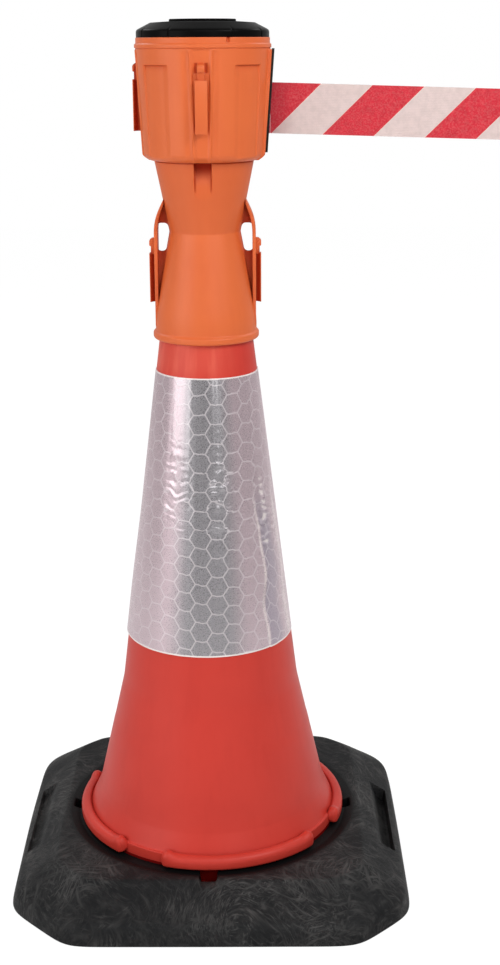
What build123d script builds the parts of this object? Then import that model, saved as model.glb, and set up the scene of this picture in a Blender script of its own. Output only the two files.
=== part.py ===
"""Cone topper belt barrier: a retractable belt head that slips over the tip of a weighted traffic cone."""
import math
import os

from build123d import *

# Driving dimensions in millimetres. The floor is Z = 0, the cone's axis is Z, the belt leaves towards +X.

# Turns round the axis
full_turn = 360.0
belt_side = 0.0
rear_side = 90.0
left_side = 180.0
front_side = -90.0

# Rubber base
base_width = 438.0
base_corner_cut = 71.0
base_height = 47.0
base_edge_height = 20.0
base_edge_lean = 5.0
base_edge_round = 7.0
well_land = 5.0
well_bevel = 10.5
seat_depth = 3.0
keyway_width = 17.5
hand_slot_length = 124.0
hand_slot_width = 16.0
hand_slot_round = 5.3
hand_slot_inset = 23.0
hand_slot_floor = 8.0

# Cone and its bayonet
cone_rise = 706.0
cone_tip_radius = 29.9
cone_wall = 3.0
skirt_top_rise = 168.0
skirt_top_radius = 97.3
skirt_foot_rise = 40.0
skirt_foot_inset = 14.5
skirt_blend = 120.0
lip_radius = 150.5
lip_height = 16.0
lip_recess = 9.0
lip_round = 6.3
lip_gap_angle = 18.0
lip_count = 4
lip_seat_gap = 2.0
spigot_depth = 19.7
spigot_fit = 0.5
spigot_wall = 3.5
lug_width = 15.0
lug_reach = 17.0
lug_height = 10.0
lug_play = 0.5
bayonet_turn = 30.0

# Reflective sleeve
sleeve_drop = 189.0
sleeve_height = 299.0
sleeve_thickness = 0.7
sleeve_gap = 0.1

# Collar that slips over the cone
collar_drop = 159.0
collar_straight = 29.0
collar_skirt_wall = 2.85
collar_wall = 2.6
collar_rib_count = 8
collar_rib_width = 2.4
topper_fit = 0.35
bead_height = 10.0
bead_proud = 3.2
waist_drop = 43.0
waist_wall = 2.0
grip_drop = 72.0
neck_rise = 27.5
neck_top_radius = 51.4
neck_plate = 4.0
channel_width = 17.0
channel_height = 40.0
channel_depth = 7.8
channel_backing = 2.8

# Bracket on each side of the collar
strip_inset = 0.5
strip_thickness = 3.6
arm_root = 5.4
strip_width = 24.0
strip_top_drop = 14.0
strip_arm_drop = 48.0
strip_foot_drop = 140.0
web_thickness = 4.0
window_height = 29.0
window_drop = 49.0
window_corner = 3.4
window_rim = 0.5
corner_limit = 0.45

# Receiver rail that a belt end slides onto
rail_width = 13.5
rail_length = 50.4
rail_plate = 2.2
rail_stem_width = 6.5
rail_stand = 5.5
nub_width = 7.0
nub_height = 8.4
nub_gap = 7.4
nub_slope = 2.5
pad_drop = 1.6
rail_root = 1.5

# Head shell
head_height = 121.1
head_foot_radius = 55.0
head_low_radius = 62.4
head_high_radius = 67.6
head_low_rise = 8.5
head_wall = 2.8
head_floor = 3.5
cavity_bevel = 2.8
rim_height = 10.6
rim_side_height = 5.3
rim_bead_drop = 6.6
rim_radius = 67.2
rim_bead = 1.4
rim_groove = 0.8
pilaster_proud = 1.6
pilaster_root = 2.1
pilaster_top_width = 24.6
pilaster_foot_width = 18.4
ridge_width = 1.8
ridge_height = 0.9
exit_face_width = 34.0
panel_count = 4
panel_angle = 29.0
panel_depth = 1.2
panel_top_drop = 15.0
head_rail_rise = 30.7
head_rail_face = 70.9
bracket_rail_drop = 116.0
rim_notch_width = 3.0
rim_notch_height = 3.5
rim_notch_depth = 1.5
rim_notch_angle = -71.0

# Lid
lid_radius = 66.5
lid_side_height = 7.1
lid_height = 15.4
lid_shoulder_radius = 52.2
lid_shoulder_drop = 1.2
lid_wall = 2.8
lid_round = 4.5
lid_plug_depth = 8.0
lid_plug_fit = 0.4
lid_plug_wall = 2.5
lid_disc_radius = 33.4
lid_disc_proud = 2.2
lid_disc_seat = 1.4
lid_disc_fit = 0.2
lid_disc_round = 0.8
lid_mark_count = 4
lid_mark_angle = 28.0
lid_mark_width = 1.2
lid_mark_depth = 0.8

# Belt
belt_width = 50.0
belt_thickness = 0.9
belt_rise = 52.7
belt_fall = 1.8
belt_reach = 308.0
belt_room = 0.8
belt_slot_width = 3.4
belt_slot_room = 2.5

# Exit plate
exit_plate_width = 30.0
exit_plate_thickness = 2.4
exit_plate_margin = 1.5
exit_plate_foot = 9.5
exit_screw_inset = 8.0
exit_screw_radius = 1.5
exit_screw_length = 4.4
exit_screw_head_radius = 2.9
exit_screw_head = 1.4
exit_screw_sink = 0.1
exit_socket_radius = 1.4
exit_socket_depth = 0.8

# Cassette
case_land = 12.8
case_wall = 2.2
case_floor = 2.4
case_flange = 3.0
case_flange_gap = 3.5
case_boss_radius = 9.0
case_boss_drop = 14.0
case_boss_floor = 2.0
nose_width = 20.0
nose_gap = 1.5
cover_thickness = 2.5
cover_room = 2.5
screw_boss_radius = 3.8
screw_boss_offset = 2.0
screw_count = 4
screw_turn = 45.0
socket_sides = 6
cover_screw_radius = 1.5
cover_screw_length = 12.0
cover_screw_head_radius = 2.8
cover_screw_head = 2.0
cover_socket_radius = 1.5
cover_socket_depth = 1.2
head_screw_radius = 2.0
head_screw_head_radius = 3.8
head_screw_head = 2.6
head_screw_length = 18.0
head_screw_circle = 36.0
head_socket_radius = 2.0
head_socket_depth = 1.6
head_boss_radius = 4.6
screw_end_room = 1.0
screw_fit = 0.1
guide_pin_radius = 2.5
guide_pin_inset = 8.4
guide_pin_gap = 0.15
guide_pin_seat = 2.0
seat_fit = 0.05

# Spool and spring
arbor_radius = 5.0
arbor_running_fit = 0.05
arbor_proud = 2.0
arbor_slot_width = 1.4
arbor_slot_depth = 3.4
spool_gap = 4.0
spool_flange = 2.2
hub_radius = 20.0
hub_wall = 3.0
hub_web = 5.0
hub_spigot = 6.0
hub_spigot_fit = 0.1
bush_wall = 3.0
washer_thickness = 0.8
washer_radius = 8.5
washer_gap = 0.3
washer_fit = 0.1
winding_gap = 0.1
winding_inset = 4.0
lead_gap = 0.3
barrel_inset = 1.5
barrel_wall = 2.0
spring_width = 14.5
spring_thickness = 0.6
spring_turns = 7
spring_room = 1.6
spring_edge_gap = 0.2
spring_start_gap = 1.2
spring_tail = 2.6
spring_cover_thickness = 2.0
spring_cover_fit = 0.4
spring_cover_lip = 1.0
spring_cover_lip_wall = 2.0
spring_cover_lip_fit = 0.1

# Fitting at the belt's end
clip_height = 57.0
clip_width = 22.0
clip_depth = 17.5
clip_top = 6.0
clip_lip = 2.6
clip_round = 2.0
clip_slide_fit = 0.5
clip_belt_room = 0.45
end_pin_radius = 1.6
end_pin_fit = 0.05
end_pin_back = 6.5
end_pin_cap = 0.5
hem_gap = 0.25

# Heights and radii that follow from the driving dimensions
base_half = base_width / 2
seat_z = base_height - seat_depth
lip_root = lip_radius - lip_recess
spigot_radius = lip_root - spigot_fit
bore_radius = spigot_radius + spigot_fit
seat_radius = lip_radius + lip_seat_gap
well_radius = seat_radius + well_bevel
base_top_half = well_radius + well_land
lug_radius = bore_radius + lug_reach
lug_low = seat_z - spigot_depth + lug_play
cone_top = seat_z + cone_rise
skirt_top_z = seat_z + skirt_top_rise
skirt_foot_z = seat_z + skirt_foot_rise
skirt_foot_radius = lip_root - skirt_foot_inset
cone_taper = (skirt_top_radius - cone_tip_radius) / (cone_top - skirt_top_z)


def cone_radius(height):
    """Outer radius of the cone's straight upper part at that height."""
    return cone_tip_radius + cone_taper * (cone_top - height)


sleeve_top = cone_top - sleeve_drop
sleeve_low = sleeve_top - sleeve_height
collar_low = cone_top - collar_drop
collar_straight_z = collar_low + collar_straight
waist_z = cone_top - waist_drop
grip_z = cone_top - grip_drop
neck_top = cone_top + neck_rise
collar_skirt_radius = cone_radius(collar_low) + topper_fit + collar_skirt_wall
waist_radius = cone_radius(waist_z) + topper_fit + waist_wall


def neck_radius(height):
    """Outer radius of the flared neck at that height."""
    return waist_radius + (neck_top_radius - waist_radius) * (height - waist_z) / (neck_top - waist_z)


def collar_radius(height):
    """Outer radius of the collar between its straight skirt and the waist at that height."""
    share = (height - collar_straight_z) / (waist_z - collar_straight_z)
    return collar_skirt_radius + (waist_radius - collar_skirt_radius) * share


def collar_height(radius):
    """Height where the collar between its straight skirt and the waist has that outer radius."""
    share = (collar_skirt_radius - radius) / (collar_skirt_radius - waist_radius)
    return collar_straight_z + (waist_z - collar_straight_z) * share


strip_face = collar_skirt_radius - strip_inset
strip_back = strip_face - strip_thickness

head_low = neck_top
head_top = head_low + head_height
head_cavity_floor = head_low + head_floor
head_wide_z = head_low + head_low_rise
rim_low = head_top - rim_height


def head_radius(height):
    """Outer radius of the tapered drum of the head at that height."""
    slope = (head_high_radius - head_low_radius) / (rim_low - head_wide_z)
    return head_low_radius + slope * (height - head_wide_z)


def head_cavity(height):
    """Inner radius of the head at that height."""
    return head_radius(height) - head_wall


def pilaster_face(height):
    """Distance from the axis to the raised flat face at each quarter of the head."""
    return head_radius(height) + pilaster_proud


def exit_face(height):
    """Distance from the axis to the outside of the exit plate."""
    return pilaster_face(height) + exit_plate_thickness


head_bore = head_cavity(rim_low)
lid_top = head_top + lid_height
belt_z = head_low + belt_rise
belt_low = belt_z - belt_width / 2
belt_high = belt_z + belt_width / 2
slot_low = belt_low - belt_slot_room
slot_high = belt_high + belt_slot_room

spool_low = belt_low - belt_room - spool_flange
hub_low = belt_low - belt_room
hub_high = belt_high + belt_room
barrel_low = hub_high + spool_flange
spring_low = barrel_low + spring_room
barrel_high = spring_low + spring_width + spring_room
spring_cover_top = barrel_high + spring_cover_thickness
cover_low = spring_cover_top + cover_room
cover_high = cover_low + cover_thickness
boss_high = spool_low - washer_thickness - washer_gap
case_floor_top = boss_high - case_floor
case_floor_low = case_floor_top - case_floor
boss_low = case_floor_low - case_boss_drop
arbor_low = boss_low + case_boss_floor
arbor_high = cover_high + arbor_proud
case_outer = head_cavity(head_cavity_floor) - case_land
case_inner = case_outer - case_wall
case_flange_radius = head_cavity(head_cavity_floor) - case_flange_gap
nose_end = math.sqrt((head_cavity(case_floor_low) - nose_gap) ** 2 - (nose_width / 2) ** 2)
nose_high = hub_high + 2 * case_wall
screw_boss_circle = case_outer + screw_boss_offset
spool_flange_radius = case_inner - spool_gap
winding_radius = spool_flange_radius - winding_inset
barrel_radius = spool_flange_radius - barrel_inset
barrel_bore = barrel_radius - barrel_wall
bush_radius = arbor_radius + arbor_running_fit + bush_wall
arbor_bore = arbor_radius + seat_fit
guide_pin_x = nose_end - guide_pin_inset
guide_pin_y = guide_pin_radius + guide_pin_gap + belt_thickness / 2
neck_low = neck_top - neck_plate
head_screw_end = neck_low + head_screw_length
cover_screw_end = cover_high - cover_screw_length
exit_plate_low = head_low + exit_plate_foot
exit_plate_high = rim_low - exit_plate_margin
exit_screw_heights = (exit_plate_low + exit_screw_inset, exit_plate_high - exit_screw_inset)

fall = math.tan(math.radians(belt_fall))
lead_end = pilaster_face(belt_z) + exit_plate_thickness / 2
clip_back = lead_end + belt_reach - end_pin_back
end_pin_x = clip_back + end_pin_back
clip_front = clip_back + clip_depth
clip_z = belt_z - fall * belt_reach
clip_low = clip_z - clip_height / 2
hem_bore = end_pin_radius + hem_gap
hem_radius = hem_bore + belt_thickness


def side_plane(turn):
    """Upright plane through the axis whose own X points outwards at that angle round the axis."""
    outward = Vector(1, 0, 0).rotate(Axis.Z, turn)
    return Plane((0, 0, 0), x_dir=outward, z_dir=outward.rotate(Axis.Z, -90))


def cut_square(half, cut):
    """Draw a square of that half width with its corners cut off."""
    flat = half - cut
    Polygon(
        (half, -flat),
        (half, flat),
        (flat, half),
        (-flat, half),
        (-half, flat),
        (-half, -flat),
        (-flat, -half),
        (flat, -half),
        align=None,
    )


def corner_cut(half):
    """Corner cut that keeps the cut faces as far inside the outline as the flat ones are."""
    inset = base_half - half
    diagonal = (base_width - base_corner_cut) / math.sqrt(2) - inset
    return 2 * half - diagonal * math.sqrt(2)


def wedge(turn, levels, mode=Mode.ADD):
    """Loft up through rectangles given as (height, near, far, width), pointing outwards at that angle."""
    sections = []
    for height, near, far, width in levels:
        with BuildSketch(Plane.XY.offset(height).rotated((0, 0, turn))) as section:
            with Locations(((near + far) / 2, 0)):
                Rectangle(far - near, width)
        sections.append(section.sketch)
    loft(sections, ruled=True, mode=mode)


def prism(turn, low, high, near, far, width, mode=Mode.ADD):
    """Upright block from near to far out along that angle, between two heights."""
    wedge(turn, [(low, near, far, width), (high, near, far, width)], mode)


def receiver(turn, face, low, root_low, root_high):
    """Rail on a stem, with a sloped nub and a pad above it, standing out to face at that angle."""
    high = low + rail_length
    nub_low = high + nub_gap
    nub_high = nub_low + nub_height
    slope = (root_high - root_low) / rail_length
    root_nub = root_low + slope * (nub_high - low)
    with BuildSketch(side_plane(turn)) as stem:
        Polygon(
            (root_low - rail_root, low),
            (face - rail_plate, low),
            (face - rail_plate, high),
            (root_high - rail_root, high),
            align=None,
        )
    extrude(stem.sketch, amount=rail_stem_width / 2, both=True)
    with BuildSketch(side_plane(turn)) as plate:
        Polygon((face - rail_plate, low), (face, low), (face, high), (face - rail_plate, high), align=None)
    extrude(plate.sketch, amount=rail_width / 2, both=True)
    with BuildSketch(side_plane(turn)) as nub:
        Polygon(
            (root_high - rail_root, high),
            (face - pad_drop, high),
            (face - pad_drop, nub_low),
            (face, nub_low),
            (face, nub_high - nub_slope),
            (face - nub_slope, nub_high),
            (root_nub - rail_root, nub_high),
            align=None,
        )
    extrude(nub.sketch, amount=nub_width / 2, both=True)


with BuildPart() as base_block:
    shoulder_half = base_half - base_edge_lean
    with BuildSketch():
        cut_square(base_half, base_corner_cut)
    with BuildSketch(Plane.XY.offset(base_edge_height)):
        cut_square(shoulder_half, corner_cut(shoulder_half))
    with BuildSketch(Plane.XY.offset(base_height)):
        cut_square(base_top_half, corner_cut(base_top_half))
    loft(ruled=True)
    fillet(base_block.edges() - base_block.edges().group_by(Axis.Z)[0], base_edge_round)
    with BuildSketch():
        Circle(bore_radius)
    extrude(amount=base_height, mode=Mode.SUBTRACT)
    with BuildSketch(Plane.XZ):
        Polygon(
            (0, seat_z),
            (seat_radius, seat_z),
            (well_radius, base_height),
            (well_radius, 2 * base_height),
            (0, 2 * base_height),
            align=None,
        )
    revolve(axis=Axis.Z, mode=Mode.SUBTRACT)
    with BuildSketch(Plane.XY.offset(lug_low - lug_play)):
        Circle(lug_radius + lug_play)
    extrude(amount=lug_height + 2 * lug_play, mode=Mode.SUBTRACT)
    with BuildSketch(Plane.XY.offset(lug_low - lug_play)):
        with PolarLocations((bore_radius + well_radius) / 2, lip_count):
            Rectangle(well_radius - bore_radius + 2 * lug_play, keyway_width)
    extrude(amount=base_height, mode=Mode.SUBTRACT)
    with BuildSketch(Plane.XY.offset(hand_slot_floor)):
        with Locations((hand_slot_inset - base_half, 0), (base_half - hand_slot_inset, 0)):
            RectangleRounded(hand_slot_width, hand_slot_length, hand_slot_round)
    extrude(amount=base_height, mode=Mode.SUBTRACT)


def skirt_outline(inset):
    """Draw the cone's side from the lip's root up to the tip, that far inside the outer surface."""
    foot = (skirt_foot_radius - inset, skirt_foot_z)
    knee = (skirt_top_radius - inset, skirt_top_z)
    tip = (cone_tip_radius - inset, cone_top)
    root = (lip_root - cone_wall - inset, seat_z + lip_height - cone_wall / 2)
    side = FilletPolyline(tip, knee, foot, radius=skirt_blend)
    TangentArc(foot, root, tangent=side % 1)
    return tip, root


with BuildPart() as cone_shell:
    with BuildSketch(Plane.XZ):
        with BuildLine():
            tip_out, root_out = skirt_outline(0)
            tip_in, root_in = skirt_outline(cone_wall)
            Line(tip_out, tip_in)
            Polyline(
                root_out,
                (lip_root, root_out[1]),
                (lip_root, seat_z),
                (spigot_radius, seat_z),
                (spigot_radius, seat_z - spigot_depth),
                (spigot_radius - spigot_wall, seat_z - spigot_depth),
                (spigot_radius - spigot_wall, seat_z),
                root_in,
            )
        make_face()
    revolve(axis=Axis.Z)
    lip_arc = full_turn / lip_count - lip_gap_angle
    for segment in range(lip_count):
        start = segment * full_turn / lip_count - bayonet_turn + lip_gap_angle / 2
        with BuildSketch(side_plane(start)) as lip_section:
            lip_width = lip_recess + cone_wall
            with Locations((lip_radius - lip_width / 2, seat_z + lip_height / 2)):
                Rectangle(lip_width, lip_height)
            crest = lip_section.vertices().group_by(Axis.Y)[-1].sort_by(Axis.X)
            fillet(crest[-1], lip_round)
        revolve(axis=Axis.Z, revolution_arc=lip_arc)
    with BuildSketch(Plane.XY.offset(lug_low)):
        with PolarLocations((spigot_radius + lug_radius) / 2 - spigot_wall / 4, lip_count, -bayonet_turn):
            Rectangle(lug_radius - spigot_radius + spigot_wall / 2, lug_width)
    extrude(amount=lug_height)

with BuildPart() as reflective_sleeve:
    film_in = sleeve_gap
    film_out = sleeve_gap + sleeve_thickness
    with BuildSketch(Plane.XZ):
        Polygon(
            (cone_radius(sleeve_low) + film_in, sleeve_low),
            (cone_radius(sleeve_low) + film_out, sleeve_low),
            (cone_radius(sleeve_top) + film_out, sleeve_top),
            (cone_radius(sleeve_top) + film_in, sleeve_top),
            align=None,
        )
    revolve(axis=Axis.Z)

with BuildPart() as cone_collar:
    skirt_bore = collar_skirt_radius - collar_wall
    with BuildSketch(Plane.XZ):
        Polygon(
            (0, neck_top),
            (neck_top_radius, neck_top),
            (waist_radius, waist_z),
            (collar_skirt_radius, collar_straight_z),
            (collar_skirt_radius, collar_low),
            (skirt_bore, collar_low),
            (skirt_bore, collar_straight_z),
            (cone_radius(grip_z) + topper_fit, grip_z),
            (cone_radius(waist_z) + topper_fit, waist_z),
            (neck_radius(neck_low) - collar_wall, neck_low),
            (0, neck_low),
            align=None,
        )
    revolve(axis=Axis.Z)
    with BuildSketch(Plane.XZ) as bead_section:
        bead_out = collar_skirt_radius + bead_proud
        with Locations(((skirt_bore + bead_out) / 2, collar_low + bead_height / 2)):
            Rectangle(bead_out - skirt_bore, bead_height)
        fillet(bead_section.vertices().group_by(Axis.X)[-1], bead_proud)
    revolve(axis=Axis.Z)
    for rib in range(collar_rib_count):
        with BuildSketch(side_plane((rib + 0.5) * full_turn / collar_rib_count)):
            Polygon(
                (cone_radius(collar_low) + topper_fit, collar_low),
                (collar_skirt_radius - collar_wall / 2, collar_low),
                (collar_skirt_radius - collar_wall / 2, collar_straight_z),
                (cone_radius(grip_z) + topper_fit + collar_wall / 2, grip_z),
                (cone_radius(grip_z) + topper_fit, grip_z),
                align=None,
            )
        extrude(amount=collar_rib_width / 2, both=True)
    channel_low = neck_top - channel_height
    channel_face = neck_top_radius - channel_depth
    backing_low = channel_low + channel_backing + collar_wall
    backing_face = channel_face - channel_backing
    backing_width = channel_width + 2 * collar_wall
    for turn in (front_side, rear_side):
        prism(turn, backing_low, neck_low, backing_face, channel_face, backing_width)
        prism(turn, channel_low, neck_top, channel_face, 2 * neck_top_radius, channel_width, Mode.SUBTRACT)
    arm_z = cone_top - strip_arm_drop
    arm_top = cone_top - strip_top_drop
    strip_low = cone_top - strip_foot_drop
    window_low = cone_top - window_drop - window_height / 2
    window_high = window_low + window_height
    window_far = strip_back + strip_thickness / 4
    window_foot = collar_radius(window_low) + window_rim
    for turn in (belt_side, left_side):
        with BuildSketch(side_plane(turn)):
            with BuildLine():
                arm_out = (neck_radius(arm_top) - collar_wall / 2, arm_top)
                arm_in = (arm_out[0], arm_top - arm_root)
                TangentArc((strip_face, arm_z), arm_out, tangent=(0, 1))
                Polyline(arm_out, arm_in)
                TangentArc((strip_back, arm_z), arm_in, tangent=(0, 1))
                Line((strip_back, arm_z), (strip_back, strip_low))
                Line((strip_back, strip_low), (strip_face, strip_low))
                Line((strip_face, strip_low), (strip_face, arm_z))
            make_face()
        extrude(amount=strip_width / 2, both=True)
        with BuildSketch(side_plane(turn)):
            with BuildLine():
                web_top = (arm_out[0], arm_top - arm_root / 2)
                web_face = strip_face - strip_thickness / 2
                TangentArc((web_face, arm_z), web_top, tangent=(0, 1))
                Polyline(
                    web_top,
                    (waist_radius - waist_wall / 2, waist_z),
                    (web_face, collar_height(web_face + collar_wall / 2)),
                    (web_face, arm_z),
                )
            make_face()
            with BuildLine():
                FilletPolyline(
                    (window_far, window_low),
                    (window_far, window_high),
                    (neck_radius(window_high) + window_rim, window_high),
                    (waist_radius + window_rim, waist_z),
                    (window_foot, window_low),
                    radius=min(window_corner, (window_far - window_foot) * corner_limit),
                    close=True,
                )
            make_face(mode=Mode.SUBTRACT)
        extrude(amount=web_thickness / 2, both=True)
        receiver(turn, strip_face + rail_stand, cone_top - bracket_rail_drop, strip_face, strip_face)
    with BuildSketch(Plane.XY.offset(neck_low)):
        with PolarLocations(head_screw_circle, screw_count, screw_turn):
            Circle(head_screw_radius + screw_fit)
    extrude(amount=neck_plate, mode=Mode.SUBTRACT)

with BuildPart() as head_shell:
    with BuildSketch(Plane.XZ):
        with BuildLine():
            wall_foot = (head_low_radius, head_wide_z)
            wall_head = (head_radius(rim_low), rim_low)
            side = Line(wall_head, wall_foot)
            TangentArc(wall_foot, (head_foot_radius, head_low), tangent=side % 1)
            Polyline(
                (head_foot_radius, head_low),
                (0, head_low),
                (0, head_top),
                (rim_radius, head_top),
                (rim_radius, head_top - rim_side_height),
                (rim_radius + rim_bead, head_top - rim_bead_drop),
                (rim_radius + rim_bead, rim_low + rim_groove),
                (head_radius(rim_low) - rim_groove, rim_low + rim_groove / 2),
                wall_head,
            )
        make_face()
    revolve(axis=Axis.Z)
    pilaster_levels = ((head_low, head_foot_radius), (head_wide_z, None), (rim_low, None))
    for turn in (left_side, front_side, rear_side, belt_side):
        top_width = exit_face_width if turn == belt_side else pilaster_top_width
        foot_width = exit_face_width if turn == belt_side else pilaster_foot_width
        pilaster = []
        recess = []
        for height, foot_face in pilaster_levels:
            far = foot_face or pilaster_face(height)
            near = far - pilaster_proud - pilaster_root
            share = (height - head_low) / (rim_low - head_low)
            width = foot_width + (top_width - foot_width) * share
            pilaster.append((height, near, far, width))
            recess.append((height, far - ridge_height, far + head_wall, width - 2 * ridge_width))
        wedge(turn, pilaster)
        if turn != belt_side:
            wedge(turn, recess, Mode.SUBTRACT)
    panel_top = rim_low - panel_top_drop
    for panel in range(panel_count):
        with BuildSketch(side_plane((panel + 0.5) * full_turn / panel_count - panel_angle / 2)):
            Polygon(
                (head_radius(head_low) - panel_depth, head_low),
                (head_radius(head_low) + head_wall, head_low),
                (head_radius(panel_top) + head_wall, panel_top),
                (head_radius(panel_top) - panel_depth, panel_top),
                align=None,
            )
        revolve(axis=Axis.Z, revolution_arc=panel_angle, mode=Mode.SUBTRACT)
    rail_low = head_low + head_rail_rise
    rail_high = rail_low + rail_length
    for turn in (left_side, front_side, rear_side):
        root_low = pilaster_face(rail_low) - ridge_height
        root_high = pilaster_face(rail_high) - ridge_height
        receiver(turn, head_rail_face, rail_low, root_low, root_high)
    with BuildSketch(Plane.XZ):
        Polygon(
            (0, head_cavity_floor),
            (head_cavity(head_cavity_floor) - cavity_bevel, head_cavity_floor),
            (head_cavity(head_wide_z), head_wide_z),
            (head_bore, rim_low),
            (head_bore, head_top),
            (0, head_top),
            align=None,
        )
    revolve(axis=Axis.Z, mode=Mode.SUBTRACT)
    prism(belt_side, slot_low, slot_high, nose_end, 2 * head_high_radius, belt_slot_width, Mode.SUBTRACT)
    notch_back = rim_radius - rim_notch_depth
    notch_low = head_top - rim_notch_height
    prism(rim_notch_angle, notch_low, head_top, notch_back, 2 * rim_radius, rim_notch_width, Mode.SUBTRACT)
    with BuildSketch(Plane.XY.offset(head_low)):
        with PolarLocations(head_screw_circle, screw_count, screw_turn):
            Circle(head_screw_radius + screw_fit)
    extrude(amount=head_floor, mode=Mode.SUBTRACT)
    with BuildSketch(Plane.YZ.offset(nose_end)):
        with Locations(*[(0, height) for height in exit_screw_heights]):
            Circle(exit_screw_radius + screw_fit)
    extrude(amount=head_high_radius, mode=Mode.SUBTRACT)

with BuildPart() as head_screws:
    with BuildSketch(Plane.XY.offset(neck_low)):
        with PolarLocations(head_screw_circle, screw_count, screw_turn):
            Circle(head_screw_radius)
    extrude(amount=head_screw_length)
    with BuildSketch(Plane.XY.offset(neck_low)):
        with PolarLocations(head_screw_circle, screw_count, screw_turn):
            Circle(head_screw_head_radius)
    extrude(amount=-head_screw_head)
    with BuildSketch(Plane.XY.offset(neck_low - head_screw_head)):
        with PolarLocations(head_screw_circle, screw_count, screw_turn):
            RegularPolygon(head_socket_radius, socket_sides)
    extrude(amount=head_socket_depth, mode=Mode.SUBTRACT)

with BuildPart() as exit_plate:
    plate_levels = []
    for height in (exit_plate_low, exit_plate_high):
        plate_levels.append((height, pilaster_face(height), exit_face(height), exit_plate_width))
    wedge(belt_side, plate_levels)
    prism(belt_side, slot_low, slot_high, nose_end, 2 * head_high_radius, belt_slot_width, Mode.SUBTRACT)
    for height in exit_screw_heights:
        with BuildSketch(Plane.YZ.offset(nose_end)):
            with Locations((0, height)):
                Circle(exit_screw_radius + screw_fit)
        extrude(amount=head_high_radius, mode=Mode.SUBTRACT)
        with BuildSketch(Plane.YZ.offset(exit_face(height) - exit_screw_head)):
            with Locations((0, height)):
                Circle(exit_screw_head_radius + screw_fit)
        extrude(amount=2 * exit_plate_thickness, mode=Mode.SUBTRACT)

with BuildPart() as exit_plate_screws:
    for height in exit_screw_heights:
        head_back = exit_face(height) - exit_screw_head
        head_front = exit_face(height) - exit_screw_sink
        with BuildSketch(Plane.YZ.offset(head_back)):
            with Locations((0, height)):
                Circle(exit_screw_head_radius)
        extrude(amount=head_front - head_back)
        with BuildSketch(Plane.YZ.offset(head_back)):
            with Locations((0, height)):
                Circle(exit_screw_radius)
        extrude(amount=-exit_screw_length)
        with BuildSketch(Plane.YZ.offset(head_front)):
            with Locations((0, height)):
                RegularPolygon(exit_socket_radius, socket_sides)
        extrude(amount=-exit_socket_depth, mode=Mode.SUBTRACT)

with BuildPart() as cassette_case:
    with BuildSketch(Plane.XZ):
        Polygon(
            (case_flange_radius, head_cavity_floor),
            (case_flange_radius, head_cavity_floor + case_flange),
            (case_outer, head_cavity_floor + case_flange),
            (case_outer, cover_low),
            (case_inner, cover_low),
            (case_inner, case_floor_top),
            (case_boss_radius, case_floor_top),
            (case_boss_radius, boss_high),
            (arbor_bore, boss_high),
            (arbor_bore, arbor_low),
            (0, arbor_low),
            (0, boss_low),
            (case_boss_radius, boss_low),
            (case_boss_radius, case_floor_low),
            (case_inner, case_floor_low),
            (case_inner, head_cavity_floor),
            align=None,
        )
    revolve(axis=Axis.Z)
    nose_inner = nose_end - case_wall
    nose_inner_width = nose_width - 2 * case_wall
    nose_roof = nose_high - case_wall
    prism(belt_side, case_floor_low, nose_high, case_inner, nose_end, nose_width)
    nose_back = case_inner - case_wall
    slot_back = nose_inner - case_wall
    prism(belt_side, case_floor_top, nose_roof, nose_back, nose_inner, nose_inner_width, Mode.SUBTRACT)
    prism(belt_side, slot_low, slot_high, slot_back, 2 * nose_end, belt_slot_width, Mode.SUBTRACT)
    with BuildSketch(Plane.XY.offset(head_cavity_floor + case_flange)):
        with PolarLocations(screw_boss_circle, screw_count, screw_turn):
            Circle(screw_boss_radius)
    extrude(amount=cover_low - head_cavity_floor - case_flange)
    with BuildSketch(Plane.XY.offset(cover_low)):
        with PolarLocations(screw_boss_circle, screw_count, screw_turn):
            Circle(cover_screw_radius + screw_fit)
    extrude(amount=cover_screw_end - screw_end_room - cover_low, mode=Mode.SUBTRACT)
    with BuildSketch(Plane.XY.offset(head_cavity_floor)):
        with PolarLocations(head_screw_circle, screw_count, screw_turn):
            Circle(head_boss_radius)
    extrude(amount=case_floor_low - head_cavity_floor)
    with BuildSketch(Plane.XY.offset(head_cavity_floor)):
        with PolarLocations(head_screw_circle, screw_count, screw_turn):
            Circle(head_screw_radius + screw_fit)
    extrude(amount=head_screw_end + screw_end_room - head_cavity_floor, mode=Mode.SUBTRACT)
    with BuildSketch(Plane.XY.offset(case_floor_top - guide_pin_seat)):
        with Locations((guide_pin_x, -guide_pin_y), (guide_pin_x, guide_pin_y)):
            Circle(guide_pin_radius + seat_fit)
    extrude(amount=nose_high, mode=Mode.SUBTRACT)

with BuildPart() as guide_pins:
    with BuildSketch(Plane.XY.offset(case_floor_top - guide_pin_seat)):
        with Locations((guide_pin_x, -guide_pin_y), (guide_pin_x, guide_pin_y)):
            Circle(guide_pin_radius)
    extrude(amount=nose_high - case_floor_top + guide_pin_seat)

with BuildPart() as cassette_cover:
    with BuildSketch(Plane.XY.offset(cover_low)):
        Circle(case_outer)
        with PolarLocations(screw_boss_circle, screw_count, screw_turn):
            Circle(screw_boss_radius)
            Circle(cover_screw_radius + screw_fit, mode=Mode.SUBTRACT)
        Circle(arbor_bore, mode=Mode.SUBTRACT)
    extrude(amount=cover_thickness)

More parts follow.
